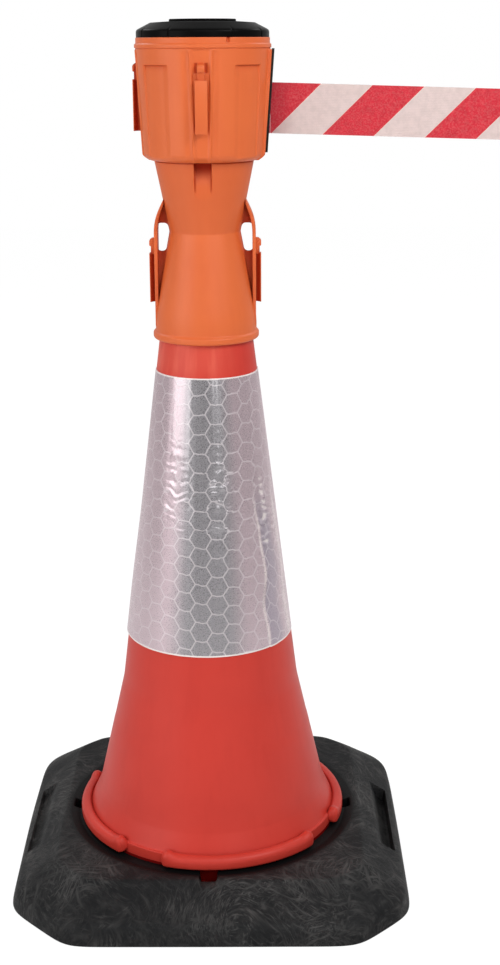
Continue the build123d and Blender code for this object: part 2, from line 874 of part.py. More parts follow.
with BuildPart() as cassette_screws:
    with BuildSketch(Plane.XY.offset(cover_high)):
        with PolarLocations(screw_boss_circle, screw_count, screw_turn):
            Circle(cover_screw_radius)
    extrude(amount=-cover_screw_length)
    with BuildSketch(Plane.XY.offset(cover_high)):
        with PolarLocations(screw_boss_circle, screw_count, screw_turn):
            Circle(cover_screw_head_radius)
    extrude(amount=cover_screw_head)
    with BuildSketch(Plane.XY.offset(cover_high + cover_screw_head)):
        with PolarLocations(screw_boss_circle, screw_count, screw_turn):
            RegularPolygon(cover_socket_radius, socket_sides)
    extrude(amount=-cover_socket_depth, mode=Mode.SUBTRACT)

with BuildPart() as arbor:
    with BuildSketch(Plane.XY.offset(arbor_low)):
        Circle(arbor_radius)
    extrude(amount=arbor_high - arbor_low)
    slot_near = arbor_radius - arbor_slot_depth
    prism(belt_side, spring_low, barrel_high, slot_near, 2 * arbor_radius, arbor_slot_width, Mode.SUBTRACT)

with BuildPart() as spool_drum:
    with BuildSketch(Plane.XZ):
        Polygon(
            (bush_radius, spool_low),
            (spool_flange_radius, spool_low),
            (spool_flange_radius, hub_low),
            (hub_radius, hub_low),
            (hub_radius, hub_high),
            (hub_radius - hub_wall, hub_high),
            (hub_radius - hub_wall, spool_low + hub_web),
            (bush_radius, spool_low + hub_web),
            align=None,
        )
    revolve(axis=Axis.Z)

with BuildPart() as lower_bush:
    with BuildSketch(Plane.XY.offset(spool_low)):
        Circle(bush_radius - seat_fit)
        Circle(arbor_radius + arbor_running_fit, mode=Mode.SUBTRACT)
    extrude(amount=hub_web)

with BuildPart() as thrust_washer:
    with BuildSketch(Plane.XY.offset(spool_low)):
        Circle(washer_radius)
        Circle(arbor_radius + washer_fit, mode=Mode.SUBTRACT)
    extrude(amount=-washer_thickness)

with BuildPart() as spring_barrel:
    with BuildSketch(Plane.XZ):
        spigot = hub_radius - hub_wall - hub_spigot_fit
        Polygon(
            (bush_radius, hub_high - hub_spigot),
            (spigot, hub_high - hub_spigot),
            (spigot, hub_high),
            (spool_flange_radius, hub_high),
            (spool_flange_radius, barrel_low),
            (barrel_radius, barrel_low),
            (barrel_radius, barrel_high),
            (barrel_bore, barrel_high),
            (barrel_bore, barrel_low),
            (bush_radius, barrel_low),
            align=None,
        )
    revolve(axis=Axis.Z)

with BuildPart() as upper_bush:
    with BuildSketch(Plane.XY.offset(hub_high - hub_spigot)):
        Circle(bush_radius - seat_fit)
        Circle(arbor_radius + arbor_running_fit, mode=Mode.SUBTRACT)
    extrude(amount=hub_spigot + spool_flange)

with BuildPart() as spring_cover:
    with BuildSketch(Plane.XZ):
        lip_out = barrel_bore - spring_cover_lip_fit
        lip_in = lip_out - spring_cover_lip_wall
        Polygon(
            (arbor_radius + spring_cover_fit, barrel_high),
            (arbor_radius + spring_cover_fit, spring_cover_top),
            (barrel_radius, spring_cover_top),
            (barrel_radius, barrel_high),
            (lip_out, barrel_high),
            (lip_out, barrel_high - spring_cover_lip),
            (lip_in, barrel_high - spring_cover_lip),
            (lip_in, barrel_high),
            align=None,
        )
    revolve(axis=Axis.Z)

with BuildPart() as power_spring:
    spring_start = arbor_radius + spring_start_gap
    spring_end = barrel_bore - spring_edge_gap - spring_thickness / 2
    half_step = (spring_end - spring_start) / (2 * spring_turns)
    with BuildSketch(Plane.XY.offset(spring_low)):
        with BuildLine():
            Line((arbor_radius - spring_tail, 0), (spring_start, 0))
            for half in range(2 * spring_turns):
                side = 1 if half % 2 == 0 else -1
                near = spring_start + half * half_step
                far = near + half_step
                middle = (side * (near - far) / 2, side * (near + far) / 2)
                ThreePointArc((side * near, 0), middle, (-side * far, 0))
        trace(line_width=spring_thickness)
    extrude(amount=spring_width)

with BuildPart() as belt_winding:
    with BuildSketch(Plane.XY.offset(belt_low)):
        Circle(winding_radius)
        Circle(hub_radius + winding_gap, mode=Mode.SUBTRACT)
    extrude(amount=belt_width)

with BuildPart() as belt_lead:
    lead_radius = winding_radius + lead_gap + belt_thickness / 2
    pin = Vector(guide_pin_x, -guide_pin_y)
    pin_turn = math.degrees(math.acos((lead_radius + guide_pin_y) / pin.length))
    leave_turn = math.degrees(math.atan2(pin.Y, pin.X)) - pin_turn
    leave = Vector(lead_radius, 0).rotate(Axis.Z, leave_turn)
    meet = pin - Vector(guide_pin_y, 0).rotate(Axis.Z, leave_turn)
    with BuildSketch(Plane.XY.offset(belt_low)):
        with BuildLine():
            run = Line(leave, meet)
            TangentArc(meet, (guide_pin_x, 0), tangent=run % 1)
            Line((guide_pin_x, 0), (lead_end, 0))
        trace(line_width=belt_thickness)
    extrude(amount=belt_width)

with BuildPart() as belt_strap:
    strap_end = end_pin_x - hem_bore - belt_thickness / 2
    strap_drop = fall * (strap_end - lead_end)
    with BuildSketch(Plane.XZ):
        Polygon(
            (lead_end, belt_low),
            (strap_end, belt_low - strap_drop),
            (strap_end, belt_high - strap_drop),
            (lead_end, belt_high),
            align=None,
        )
    extrude(amount=belt_thickness / 2, both=True)
    with BuildSketch(Plane.XY.offset(clip_z - belt_width / 2)):
        with Locations((end_pin_x, 0)):
            Circle(hem_radius)
    extrude(amount=belt_width)
    with BuildSketch(Plane.XY.offset(clip_low)):
        with Locations((end_pin_x, 0)):
            Circle(hem_bore)
    extrude(amount=clip_height, mode=Mode.SUBTRACT)

with BuildPart() as belt_end_clip:
    with BuildSketch(Plane.XY.offset(clip_low)):
        with Locations(((clip_back + clip_front) / 2, 0)):
            Rectangle(clip_depth, clip_width)
    extrude(amount=clip_height)
    fillet(belt_end_clip.edges(), clip_round)
    hem_room = belt_width / 2 + belt_room
    pocket_width = belt_thickness + 2 * clip_belt_room
    pocket_low = clip_z - hem_room
    pocket_high = clip_z + hem_room
    pocket_back = 2 * clip_back - end_pin_x
    prism(belt_side, pocket_low, pocket_high, pocket_back, end_pin_x, pocket_width, Mode.SUBTRACT)
    with BuildSketch(Plane.XY.offset(pocket_low)):
        with Locations((end_pin_x, 0)):
            Circle(hem_radius + clip_belt_room)
    extrude(amount=2 * hem_room, mode=Mode.SUBTRACT)
    with BuildSketch(Plane.XY.offset(clip_low)):
        with Locations((end_pin_x, 0)):
            Circle(end_pin_radius + end_pin_fit)
    extrude(amount=clip_height - end_pin_cap, mode=Mode.SUBTRACT)
    channel_high = clip_low + clip_height - clip_top
    channel_front = clip_front - clip_lip
    channel_back = channel_front - rail_plate - 2 * clip_slide_fit
    channel_span = rail_width + 2 * clip_slide_fit
    mouth_width = rail_stem_width + 2 * clip_slide_fit
    bridge_face = channel_front - rail_plate + pad_drop - clip_slide_fit
    prism(belt_side, clip_low, channel_high, channel_back, channel_front, channel_span, Mode.SUBTRACT)
    prism(belt_side, clip_low, channel_high, channel_back, 2 * clip_front, mouth_width, Mode.SUBTRACT)
    prism(belt_side, clip_low, 2 * channel_high, bridge_face, 2 * clip_front, mouth_width, Mode.SUBTRACT)

with BuildPart() as belt_end_pin:
    with BuildSketch(Plane.XY.offset(clip_low + end_pin_cap)):
        with Locations((end_pin_x, 0)):
            Circle(end_pin_radius)
    extrude(amount=clip_height - 2 * end_pin_cap)

with BuildPart() as lid_cap:
    plug_out = head_bore - lid_plug_fit
    plug_in = plug_out - lid_plug_wall
    disc_seat = lid_top - lid_disc_seat
    shoulder_z = lid_top - lid_shoulder_drop
    disc_rim = lid_disc_radius + lid_disc_fit
    with BuildSketch(Plane.XZ) as lid_section:
        Polygon(
            (plug_out, head_top),
            (lid_radius, head_top),
            (lid_radius, head_top + lid_side_height),
            (lid_shoulder_radius, shoulder_z),
            (disc_rim, lid_top),
            (disc_rim, disc_seat),
            (0, disc_seat),
            (0, disc_seat - lid_wall),
            (lid_shoulder_radius, disc_seat - lid_wall),
            (plug_in, head_top),
            (plug_in, head_top - lid_plug_depth),
            (plug_out, head_top - lid_plug_depth),
            align=None,
        )
        fillet(lid_section.vertices().group_by(Axis.X)[-1].sort_by(Axis.Y)[-1], lid_round)
    revolve(axis=Axis.Z)
    mark_back = lid_radius - lid_mark_depth
    mark_high = head_top + lid_side_height
    for quarter in range(lid_mark_count):
        for lean in (-lid_mark_angle, lid_mark_angle):
            turn = quarter * full_turn / lid_mark_count + lean
            prism(turn, head_top, mark_high, mark_back, 2 * lid_radius, lid_mark_width, Mode.SUBTRACT)

with BuildPart() as lid_disc:
    disc_low = lid_top - lid_disc_seat
    disc_high = lid_top + lid_disc_proud
    with BuildSketch(Plane.XY.offset(disc_low)):
        Circle(lid_disc_radius)
    extrude(amount=disc_high - disc_low)
    fillet(lid_disc.edges().group_by(Axis.Z)[-1], lid_disc_round)

pieces = {
    "base_block": base_block,
    "cone_shell": cone_shell,
    "reflective_sleeve": reflective_sleeve,
    "cone_collar": cone_collar,
    "head_shell": head_shell,
    "head_screws": head_screws,
    "exit_plate": exit_plate,
    "exit_plate_screws": exit_plate_screws,
    "cassette_case": cassette_case,
    "cassette_cover": cassette_cover,
    "cassette_screws": cassette_screws,
    "guide_pins": guide_pins,
    "arbor": arbor,
    "spool_drum": spool_drum,
    "lower_bush": lower_bush,
    "upper_bush": upper_bush,
    "thrust_washer": thrust_washer,
    "spring_barrel": spring_barrel,
    "spring_cover": spring_cover,
    "power_spring": power_spring,
    "belt_winding": belt_winding,
    "belt_lead": belt_lead,
    "belt_strap": belt_strap,
    "belt_end_clip": belt_end_clip,
    "belt_end_pin": belt_end_pin,
    "lid_cap": lid_cap,
    "lid_disc": lid_disc,
}
os.makedirs("parts", exist_ok=True)
for name, piece in pieces.items():
    piece.part.label = name
    export_step(piece.part, f"parts/{name}.step")
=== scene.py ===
"""Dress the cone topper belt barrier: orange topper, striped belt, film sleeve, red cone and rubber base."""
import logging
import math
from dataclasses import dataclass, field
from enum import Enum
from typing import Callable, Mapping, Sequence, Union

import bmesh
import bpy
from mathutils import Matrix, Vector, geometry, noise


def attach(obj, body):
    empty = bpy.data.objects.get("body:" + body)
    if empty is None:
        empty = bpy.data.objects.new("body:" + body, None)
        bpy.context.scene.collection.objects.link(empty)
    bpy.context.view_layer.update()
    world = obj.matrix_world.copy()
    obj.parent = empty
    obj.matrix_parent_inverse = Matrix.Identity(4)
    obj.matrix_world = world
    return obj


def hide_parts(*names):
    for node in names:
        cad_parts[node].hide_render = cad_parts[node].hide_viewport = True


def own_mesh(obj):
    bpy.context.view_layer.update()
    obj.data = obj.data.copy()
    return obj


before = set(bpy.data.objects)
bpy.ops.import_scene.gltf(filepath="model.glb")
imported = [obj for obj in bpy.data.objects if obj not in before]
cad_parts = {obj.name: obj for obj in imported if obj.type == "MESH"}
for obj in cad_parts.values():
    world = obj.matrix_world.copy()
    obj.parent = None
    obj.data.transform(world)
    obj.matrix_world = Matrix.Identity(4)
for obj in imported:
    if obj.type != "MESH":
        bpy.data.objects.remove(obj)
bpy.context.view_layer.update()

LOG = logging.getLogger("belt_barrier")
MM = 0.001
FULL_TURN = 360.0

Colour = tuple[float, float, float]
BLACK: Colour = (0.0, 0.0, 0.0)
WHITE: Colour = (1.0, 1.0, 1.0)
PALE: Colour = (0.9, 0.9, 0.9)


class Body(Enum):
    """Moving bodies that a piece can ride on."""

    BASE = "base"
    CONE = "cone"
    TOPPER = "topper"
    LID = "lid"
    SPOOL = "spool"
    BELT_END = "belt_end"


class Slot(Enum):
    """Finish slots of the record."""

    BASE_RUBBER = "base_rubber"
    CONE_RED = "cone_red"
    FILM_SILVER = "film_silver"
    TOPPER_ORANGE = "topper_orange"
    LID_BLACK = "lid_black"
    TRIM_BLACK = "trim_black"
    STEEL = "steel"
    BELT_WEBBING = "belt_webbing"


class Quarter(Enum):
    """Sides of the topper, as angles round the axis from the belt's side."""

    BELT = 0.0
    REAR = 90.0
    LEFT = 180.0
    FRONT = -90.0


def srgb(red: int, green: int, blue: int) -> Colour:
    """Turn a screen colour, each share from 0 to 255, into a linear shader colour."""
    shares = (red / 255, green / 255, blue / 255)
    return tuple(s / 12.92 if s <= 0.04045 else ((s + 0.055) / 1.055) ** 2.4 for s in shares)


def ease(low: float, high: float, value: float) -> float:
    """Rise smoothly from 0 at one value to 1 at another, which may lie above or below it."""
    share = min(max((value - low) / (high - low), 0.0), 1.0)
    return share * share * (3 - 2 * share)


def bell(centre: float, spread: float, value: float) -> float:
    """Give 1 at a centre and fall smoothly to 0 on both sides, by two thirds at the spread."""
    return math.exp(-(((value - centre) / spread) ** 2))


def apart(first: float, second: float) -> float:
    """Give the signed angle from the second direction to the first, in degrees from -180 to 180."""
    return (first - second + FULL_TURN / 2) % FULL_TURN - FULL_TURN / 2


def sideways(turn: float) -> Matrix:
    """Turn a point given as (outwards, across, up) to an angle round the axis, in degrees."""
    return Matrix.Rotation(math.radians(turn), 3, "Z")


def polar(point: Vector) -> tuple[float, float]:
    """Give a point's distance from the axis and its angle round the axis in degrees."""
    return math.hypot(point.x, point.y), math.degrees(math.atan2(point.y, point.x))


def spread_out(point: Vector, grow: float, up: float) -> Vector:
    """Give the point at a height whose distance from the axis has grown by a factor."""
    return Vector((point.x * grow, point.y * grow, up))


def points_in(geom: Sequence[object]) -> list[bmesh.types.BMVert]:
    """Pick the points from what a mesh operator made."""
    return [item for item in geom if isinstance(item, bmesh.types.BMVert)]


@dataclass(frozen=True)
class Corner:
    """A corner of a profile.

    Attributes:
        out: Distance from the axis in millimetres.
        up: Height in millimetres.
        round: Rounding radius in millimetres.
        row: Longest step between the rows that follow the corner.
    """

    out: float
    up: float
    round: float = 0.0
    row: float = 25.0


def mirrored(half: Sequence[Corner]) -> list[Corner]:
    """Close a half outline with its mirror image."""
    return [*half, *(Corner(corner.out, -corner.up, corner.round) for corner in reversed(half))]


class Workpiece:
    """A mesh in the making, in millimetres, in the frame of the whole barrier."""

    ROUND_STEPS = 7

    def __init__(self, name: str) -> None:
        """Start an empty mesh with the name of its piece."""
        self.name = name
        self.bm = bmesh.new()

    @classmethod
    def rounded(cls, corners: Sequence[Corner], closed: bool) -> list[tuple[Vector, float]]:
        """Round the corners of a profile.

        Args:
            corners: Corners in order.
            closed: Whether the last corner joins the first.

        Returns:
            Points as (out, up), each with the row length that follows it.
        """
        points: list[tuple[Vector, float]] = []
        count = len(corners)
        for index, corner in enumerate(corners):
            here = Vector((corner.out, corner.up))
            at_end = not closed and index in (0, count - 1)
            if corner.round <= 0 or at_end:
                points.append((here, corner.row))
                continue
            before = corners[index - 1]
            after = corners[(index + 1) % count]
            back = (Vector((before.out, before.up)) - here).normalized()
            ahead = (Vector((after.out, after.up)) - here).normalized()
            bend = math.pi - back.angle(ahead)
            reach = corner.round * math.tan(bend / 2)
            pull = reach * (1 - 4 / 3 * math.tan(bend / 4) / math.tan(bend / 2))
            ends = (here + back * reach, here + back * pull, here + ahead * pull, here + ahead * reach)
            arc = geometry.interpolate_bezier(*ends, cls.ROUND_STEPS)
            points += [(Vector(point), corner.row) for point in arc]
        return points

    def wires(self) -> list[bmesh.types.BMEdge]:
        """List the edges that carry no face yet."""
        return [edge for edge in self.bm.edges if edge.is_wire]

    def chain(self, points: Sequence[Vector], closed: bool) -> list[bmesh.types.BMEdge]:
        """Lay edges through points.

        Args:
            points: Points in order.
            closed: Whether the last point joins the first.

        Returns:
            The new edges in order.
        """
        verts = [self.bm.verts.new(point) for point in points]
        ends = verts[1:] + verts[:1] if closed else verts[1:]
        return [self.bm.edges.new(pair) for pair in zip(verts, ends)]

    def lathe(
        self, corners: Sequence[Corner], steps: int, closed: bool = True,
        start: float = 0.0, sweep: float = FULL_TURN,
    ) -> None:
        """Turn a profile round the axis.

        Args:
            corners: Corners of the profile.
            steps: Steps of the turn.
            closed: Whether the profile is a closed loop.
            start: Angle that the turn starts at, in degrees.
            sweep: Angle that it covers, in degrees.
        """
        points = self.rounded(corners, closed)
        turn = sideways(start)
        edges = self.chain([turn @ Vector((point.x, 0, point.y)) for point, _ in points], closed)
        for edge, (_, row) in zip(edges, points):
            cuts = int(edge.calc_length() / row)
            if cuts:
                bmesh.ops.subdivide_edges(self.bm, edges=[edge], cuts=cuts)
        old = set(self.bm.faces)
        edges = self.wires()
        verts = {vert for edge in edges for vert in edge.verts}
        full = sweep == FULL_TURN
        doublings = 4 if full else 0
        bmesh.ops.spin(
            self.bm, geom=list(verts) + edges, cent=(0, 0, 0), axis=(0, 0, 1),
            angle=math.radians(sweep / 2 ** doublings), steps=steps // 2 ** doublings, use_merge=False,
        )
        for doubling in range(doublings, 0, -1):
            faces = [face for face in self.bm.faces if face not in old]
            copy = bmesh.ops.duplicate(self.bm, geom=faces)["geom"]
            turn = sideways(sweep / 2 ** doubling)
            bmesh.ops.rotate(self.bm, cent=(0, 0, 0), matrix=turn, verts=points_in(copy))
        if not full:
            rims = [edge for edge in self.bm.edges if edge.is_boundary]
            bmesh.ops.holes_fill(self.bm, edges=rims)
        self.settle()

    def settle(self) -> None:
        """Merge double points and turn all faces outwards."""
        bmesh.ops.remove_doubles(self.bm, verts=self.bm.verts, dist=0.001)
        bmesh.ops.dissolve_degenerate(self.bm, edges=self.bm.edges, dist=0.0005)
        bmesh.ops.recalc_face_normals(self.bm, faces=self.bm.faces)

    def soften(self, edges: Sequence[bmesh.types.BMEdge], width: float, segments: int = 3) -> None:
        """Round edges over.

        Args:
            edges: Edges to round.
            width: Width of the rounding.
            segments: Faces across it.
        """
        bmesh.ops.bevel(
            self.bm, geom=list(edges), offset=width, offset_type="OFFSET", affect="EDGES", segments=segments,
            profile=0.5, material=-1, clamp_overlap=True,
        )

    def block(self, low: Vector, high: Vector, turn: float, edge: float) -> None:
        """Add a block with rounded edges.

        Args:
            low: Lowest corner as (outwards, across, up).
            high: Highest corner.
            turn: Angle round the axis that it points to.
            edge: Rounding of its edges.
        """
        size = Matrix.Diagonal((*(high - low), 1))
        place = sideways(turn).to_4x4() @ Matrix.Translation((low + high) / 2) @ size
        verts = bmesh.ops.create_cube(self.bm, size=1.0, matrix=place)["verts"]
        self.soften({link for vert in verts for link in vert.link_edges}, edge)

    def thicken(
        self, loops: Sequence[Sequence[Vector]], way: Vector, edge: float
    ) -> list[bmesh.types.BMVert]:
        """Fill an outline, push it out into a solid and round its rims.

        Args:
            loops: Points of the outline, then of each opening.
            way: Direction and depth of the push.
            edge: Rounding of the rims.

        Returns:
            The new points.
        """
        old = set(self.bm.verts)
        edges = [link for loop in loops for link in self.chain(loop, True)]
        bmesh.ops.triangle_fill(self.bm, use_beauty=True, use_dissolve=False, edges=edges)
        faces = [face for face in self.bm.faces if old.isdisjoint(face.verts)]
        pushed = bmesh.ops.extrude_face_region(self.bm, geom=faces, use_keep_orig=True)["geom"]
        bmesh.ops.translate(self.bm, vec=way, verts=points_in(pushed))
        made = [face for face in self.bm.faces if old.isdisjoint(face.verts)]
        bmesh.ops.recalc_face_normals(self.bm, faces=made)
        caps = {face for face in made if abs(face.normal.dot(way.normalized())) > 0.9}
        rims = [
            link for link in {link for face in caps for link in face.edges}
            if sum(face in caps for face in link.link_faces) == 1
        ]
        if edge > 0:
            self.soften(rims, edge, 2)
        return [vert for vert in self.bm.verts if vert not in old]

    def slab(
        self, outline: Sequence[Vector], width: float, turn: float, edge: float,
        holes: Sequence[Sequence[Vector]] = (),
    ) -> None:
        """Add a slab from an outline in the upright plane through the axis.

        Args:
            outline: Points as (outwards, up).
            width: Thickness of the slab, half on each side of the plane.
            turn: Angle round the axis that the plane points to.
            edge: Rounding of the rims.
            holes: Outlines of openings.
        """
        place = sideways(turn)
        loops = [
            [place @ Vector((point[0], -width / 2, point[1])) for point in loop]
            for loop in (outline, *holes)
        ]
        self.thicken(loops, place @ Vector((0, width, 0)), edge)

    def prism(
        self, corners: Sequence[Corner], low: float, high: float, turn: float, edge: float
    ) -> list[bmesh.types.BMVert]:
        """Raise an outline between two heights.

        Args:
            corners: Corners as (outwards, across).
            low: Lower height.
            high: Upper height.
            turn: Angle round the axis that the outline points to.
            edge: Rounding of the upper and lower rims.

        Returns:
            The new points.
        """
        place = sideways(turn)
        loop = [place @ Vector((point.x, point.y, low)) for point, _ in self.rounded(corners, True)]
        return self.thicken([loop], Vector((0, 0, high - low)), edge)

    def mould(self, move: Callable[[Vector], Vector]) -> None:
        """Move every point by a rule."""
        for vert in self.bm.verts:
            vert.co = move(vert.co)

    def paint(self, layer: str, rule: Callable[[Vector], float]) -> None:
        """Give every point a value by a rule, for its finish to read.

        Args:
            layer: Name of the values.
            rule: Value of a point from its place.
        """
        values = self.bm.verts.layers.float.new(layer)
        for vert in self.bm.verts:
            vert[values] = rule(vert.co)

    def finish(
        self, body: Body, slot: Slot, material: bpy.types.Material,
        stands_for: Sequence[str] = (), sharp: float = 38.0,
    ) -> bpy.types.Object:
        """Make the piece's object and set it on its body.

        Args:
            body: Body that the piece rides on.
            slot: Finish slot of the record; not used.
            material: Material of the piece.
            stands_for: Solids that the piece replaces.
            sharp: Angle in degrees above which an edge stays sharp.

        Returns:
            The finished object.
        """
        bmesh.ops.scale(self.bm, vec=(MM, MM, MM), verts=self.bm.verts)
        mesh = bpy.data.meshes.new(self.name)
        self.bm.to_mesh(mesh)
        self.bm.free()
        mesh.shade_smooth()
        mesh.set_sharp_from_angle(angle=math.radians(sharp))
        mesh.materials.append(material)
        piece = bpy.data.objects.new(self.name, mesh)
        bpy.context.scene.collection.objects.link(piece)
        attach(piece, body.value)
        if stands_for:
            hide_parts(*stands_for)
        LOG.info("%s: %d faces on %s", self.name, len(mesh.polygons), body.value)
        return piece


def operator(operation: str, swapped: bool = False) -> Callable[..., "Signal"]:
    """Make a method that adds a Math node.

    Args:
        operation: Name of the node's operation.
        swapped: Whether the other value comes first.

    Returns:
        The method, for a value alone or with another one.
    """
    def apply(self: "Signal", *other: "Number") -> "Signal":
        """Put the value, and the other one if there is one, through the node."""
        return self.math(operation, *((*other, self) if swapped else (self, *other)))

    return apply


class Signal:
    """A shader value that can stand in a sum."""

    def __init__(self, tree: bpy.types.NodeTree, socket: bpy.types.NodeSocket) -> None:
        """Wrap an output socket of a node tree."""
        self.tree = tree
        self.socket = socket

    def math(self, operation: str, *items: "Number") -> "Signal":
        """Add a Math node.

        Args:
            operation: Name of the node's operation.
            items: Its inputs, values or numbers, in order.

        Returns:
            The node's value.
        """
        node = self.tree.nodes.new("ShaderNodeMath")
        node.operation = operation
        for socket, item in zip(node.inputs, items):
            if isinstance(item, Signal):
                self.tree.links.new(item.socket, socket)
            else:
                socket.default_value = item
        return Signal(self.tree, node.outputs[0])

    __add__ = operator("ADD")
    __radd__ = operator("ADD", True)
    __sub__ = operator("SUBTRACT")
    __rsub__ = operator("SUBTRACT", True)
    __mul__ = operator("MULTIPLY")
    __rmul__ = operator("MULTIPLY", True)
    __truediv__ = operator("DIVIDE")
    __mod__ = operator("FLOORED_MODULO")
    __lt__ = operator("LESS_THAN")
    __gt__ = operator("GREATER_THAN")
    __abs__ = operator("ABSOLUTE")
    most = operator("MAXIMUM")
    least = operator("MINIMUM")
    sine = operator("SINE")
    root = operator("SQRT")

    def rise(self, low: float, high: float) -> "Signal":
        """Rise smoothly from 0 to 1 between two values.

        Args:
            low: Value that gives 0.
            high: Value that gives 1.

        Returns:
            The share.
        """
        node = self.tree.nodes.new("ShaderNodeMapRange")
        node.interpolation_type = "SMOOTHSTEP"
        self.tree.links.new(self.socket, node.inputs["Value"])
        ends = (high, low, 1.0, 0.0) if low > high else (low, high, 0.0, 1.0)
        for key, value in zip(("From Min", "From Max", "To Min", "To Max"), ends):
            node.inputs[key].default_value = value
        return Signal(self.tree, node.outputs["Result"])


Number = Union[Signal, float, int]
Feed = Union[Signal, bpy.types.NodeSocket, float, Sequence[float]]


class Nodes:
    """A node tree in the making."""

    def __init__(self, tree: bpy.types.NodeTree) -> None:
        """Clear a tree, to start from nothing."""
        self.tree = tree
        self.tree.nodes.clear()

    def node(
        self, kind: str, settings: Mapping[str, object] | None = None,
        inputs: Mapping[object, Feed] | None = None,
    ) -> bpy.types.Node:
        """Add a node.

        Args:
            kind: Node type without its prefix.
            settings: Settings of the node, set first.
            inputs: Values or links of its sockets.

        Returns:
            The node.
        """
        made = self.tree.nodes.new(f"ShaderNode{kind}")
        for key, value in (settings or {}).items():
            setattr(made, key, value)
        for key, value in (inputs or {}).items():
            self.feed(made.inputs[key], value)
        return made

    def feed(self, socket: bpy.types.NodeSocket, value: Feed) -> None:
        """Link a value to a socket, or set it there.

        Args:
            socket: Socket to feed.
            value: Value, socket, number or colour.
        """
        source = value.socket if isinstance(value, Signal) else value
        if isinstance(source, bpy.types.NodeSocket):
            self.tree.links.new(source, socket)
        elif socket.type == "RGBA":
            socket.default_value = (*source, 1.0)
        else:
            socket.default_value = source

    def parts(self, vector: bpy.types.NodeSocket) -> tuple[Signal, Signal, Signal]:
        """Split a place into its three values."""
        made = self.node("SeparateXYZ", None, {0: vector})
        return tuple(Signal(self.tree, output) for output in made.outputs)


class Bench(Nodes):
    """The node tree of one material."""

    MIX_FACTOR, MIX_FIRST, MIX_SECOND, MIX_RESULT = 0, 6, 7, 2

    def __init__(self, name: str) -> None:
        """Start a material with a bare shader.

        Args:
            name: Name of the material.
        """
        self.material = bpy.data.materials.new(name)
        self.material.use_nodes = True
        super().__init__(self.material.node_tree)
        self.shader = self.node("BsdfPrincipled")
        self.output = self.node("OutputMaterial", None, {"Surface": self.shader.outputs[0]})

    def place(self) -> bpy.types.NodeSocket:
        """Give the place of a point on the piece."""
        return self.node("TexCoord").outputs["Object"]

    def spread(self, layer: str) -> bpy.types.NodeSocket:
        """Give the flat place of a point on a named UV map."""
        return self.node("UVMap", {"uv_map": layer}).outputs["UV"]

    def turned(
        self, vector: bpy.types.NodeSocket, scale: Sequence[float], turn: float = 0.0
    ) -> bpy.types.NodeSocket:
        """Turn a place about the upright axis, then stretch it.

        Args:
            vector: Place to change.
            scale: Stretch along each axis.
            turn: Turn in degrees.

        Returns:
            The new place.
        """
        settings = {"rotation_type": "Z_AXIS"}
        spun = self.node("VectorRotate", settings, {"Vector": vector, "Angle": math.radians(turn)}).outputs[0]
        return self.node("VectorMath", {"operation": "MULTIPLY"}, {0: spun, 1: scale}).outputs[0]

    def warped(self, vector: bpy.types.NodeSocket, scale: float, reach: float) -> bpy.types.NodeSocket:
        """Push a place about by soft noise.

        Args:
            vector: Place to change.
            scale: Patches in a metre.
            reach: Greatest push in metres.

        Returns:
            The new place.
        """
        push = self.node("TexNoise", None, {"Vector": vector, "Scale": scale, "Detail": 1.0}).outputs[1]
        inputs = {0: push, 1: (reach, reach, reach), 2: vector}
        return self.node("VectorMath", {"operation": "MULTIPLY_ADD"}, inputs).outputs[0]

    def cloud(
        self, vector: bpy.types.NodeSocket, scale: float, detail: float = 2.0, rough: float = 0.5
    ) -> Signal:
        """Give soft noise from 0 to 1, with so many patches in a metre and octaves of finer noise."""
        inputs = {"Vector": vector, "Scale": scale, "Detail": detail, "Roughness": rough}
        return Signal(self.tree, self.node("TexNoise", None, inputs).outputs[0])

    def blend(self, factor: Feed, first: Feed, second: Feed) -> bpy.types.NodeSocket:
        """Mix two colours, with the factor as the share of the second."""
        inputs = {self.MIX_FACTOR: factor, self.MIX_FIRST: first, self.MIX_SECOND: second}
        return self.node("Mix", {"data_type": "RGBA", "clamp_factor": True}, inputs).outputs[self.MIX_RESULT]

    def relief(self, height: Signal, depth: float, strength: float = 1.0) -> bpy.types.NodeSocket:
        """Turn a height from 0 to 1, of a depth in metres, into a bumped normal."""
        inputs = {"Strength": strength, "Distance": depth, "Height": height}
        return self.node("Bump", None, inputs).outputs[0]

    def painted(self, layer: str) -> Signal:
        """Give the values that were painted on the points of a piece."""
        return Signal(self.tree, self.node("Attribute", {"attribute_name": layer}).outputs["Fac"])

    def gap(self, reach: float) -> Signal:
        """Give how far walls of the same piece within a reach close a point in: 0 in the open, 1 in a gap."""
        made = self.node("AmbientOcclusion", {"samples": 6, "only_local": True}, {"Distance": reach})
        return 1 - Signal(self.tree, made.outputs["AO"])

    def cover(self, share: Signal, other: bpy.types.Node) -> None:
        """Let the node of another shader cover a share of the surface."""
        both = self.node("MixShader", None, {0: share, 1: self.shader.outputs[0], 2: other.outputs[0]})
        self.feed(self.output.inputs["Surface"], both.outputs[0])

    def surface(self, inputs: Mapping[str, Feed]) -> bpy.types.Material:
        """Feed the shader and give the finished material.

        Args:
            inputs: Values or links of the shader's sockets.

        Returns:
            The material.
        """
        for key, value in inputs.items():
            self.feed(self.shader.inputs[key], value)
        return self.material


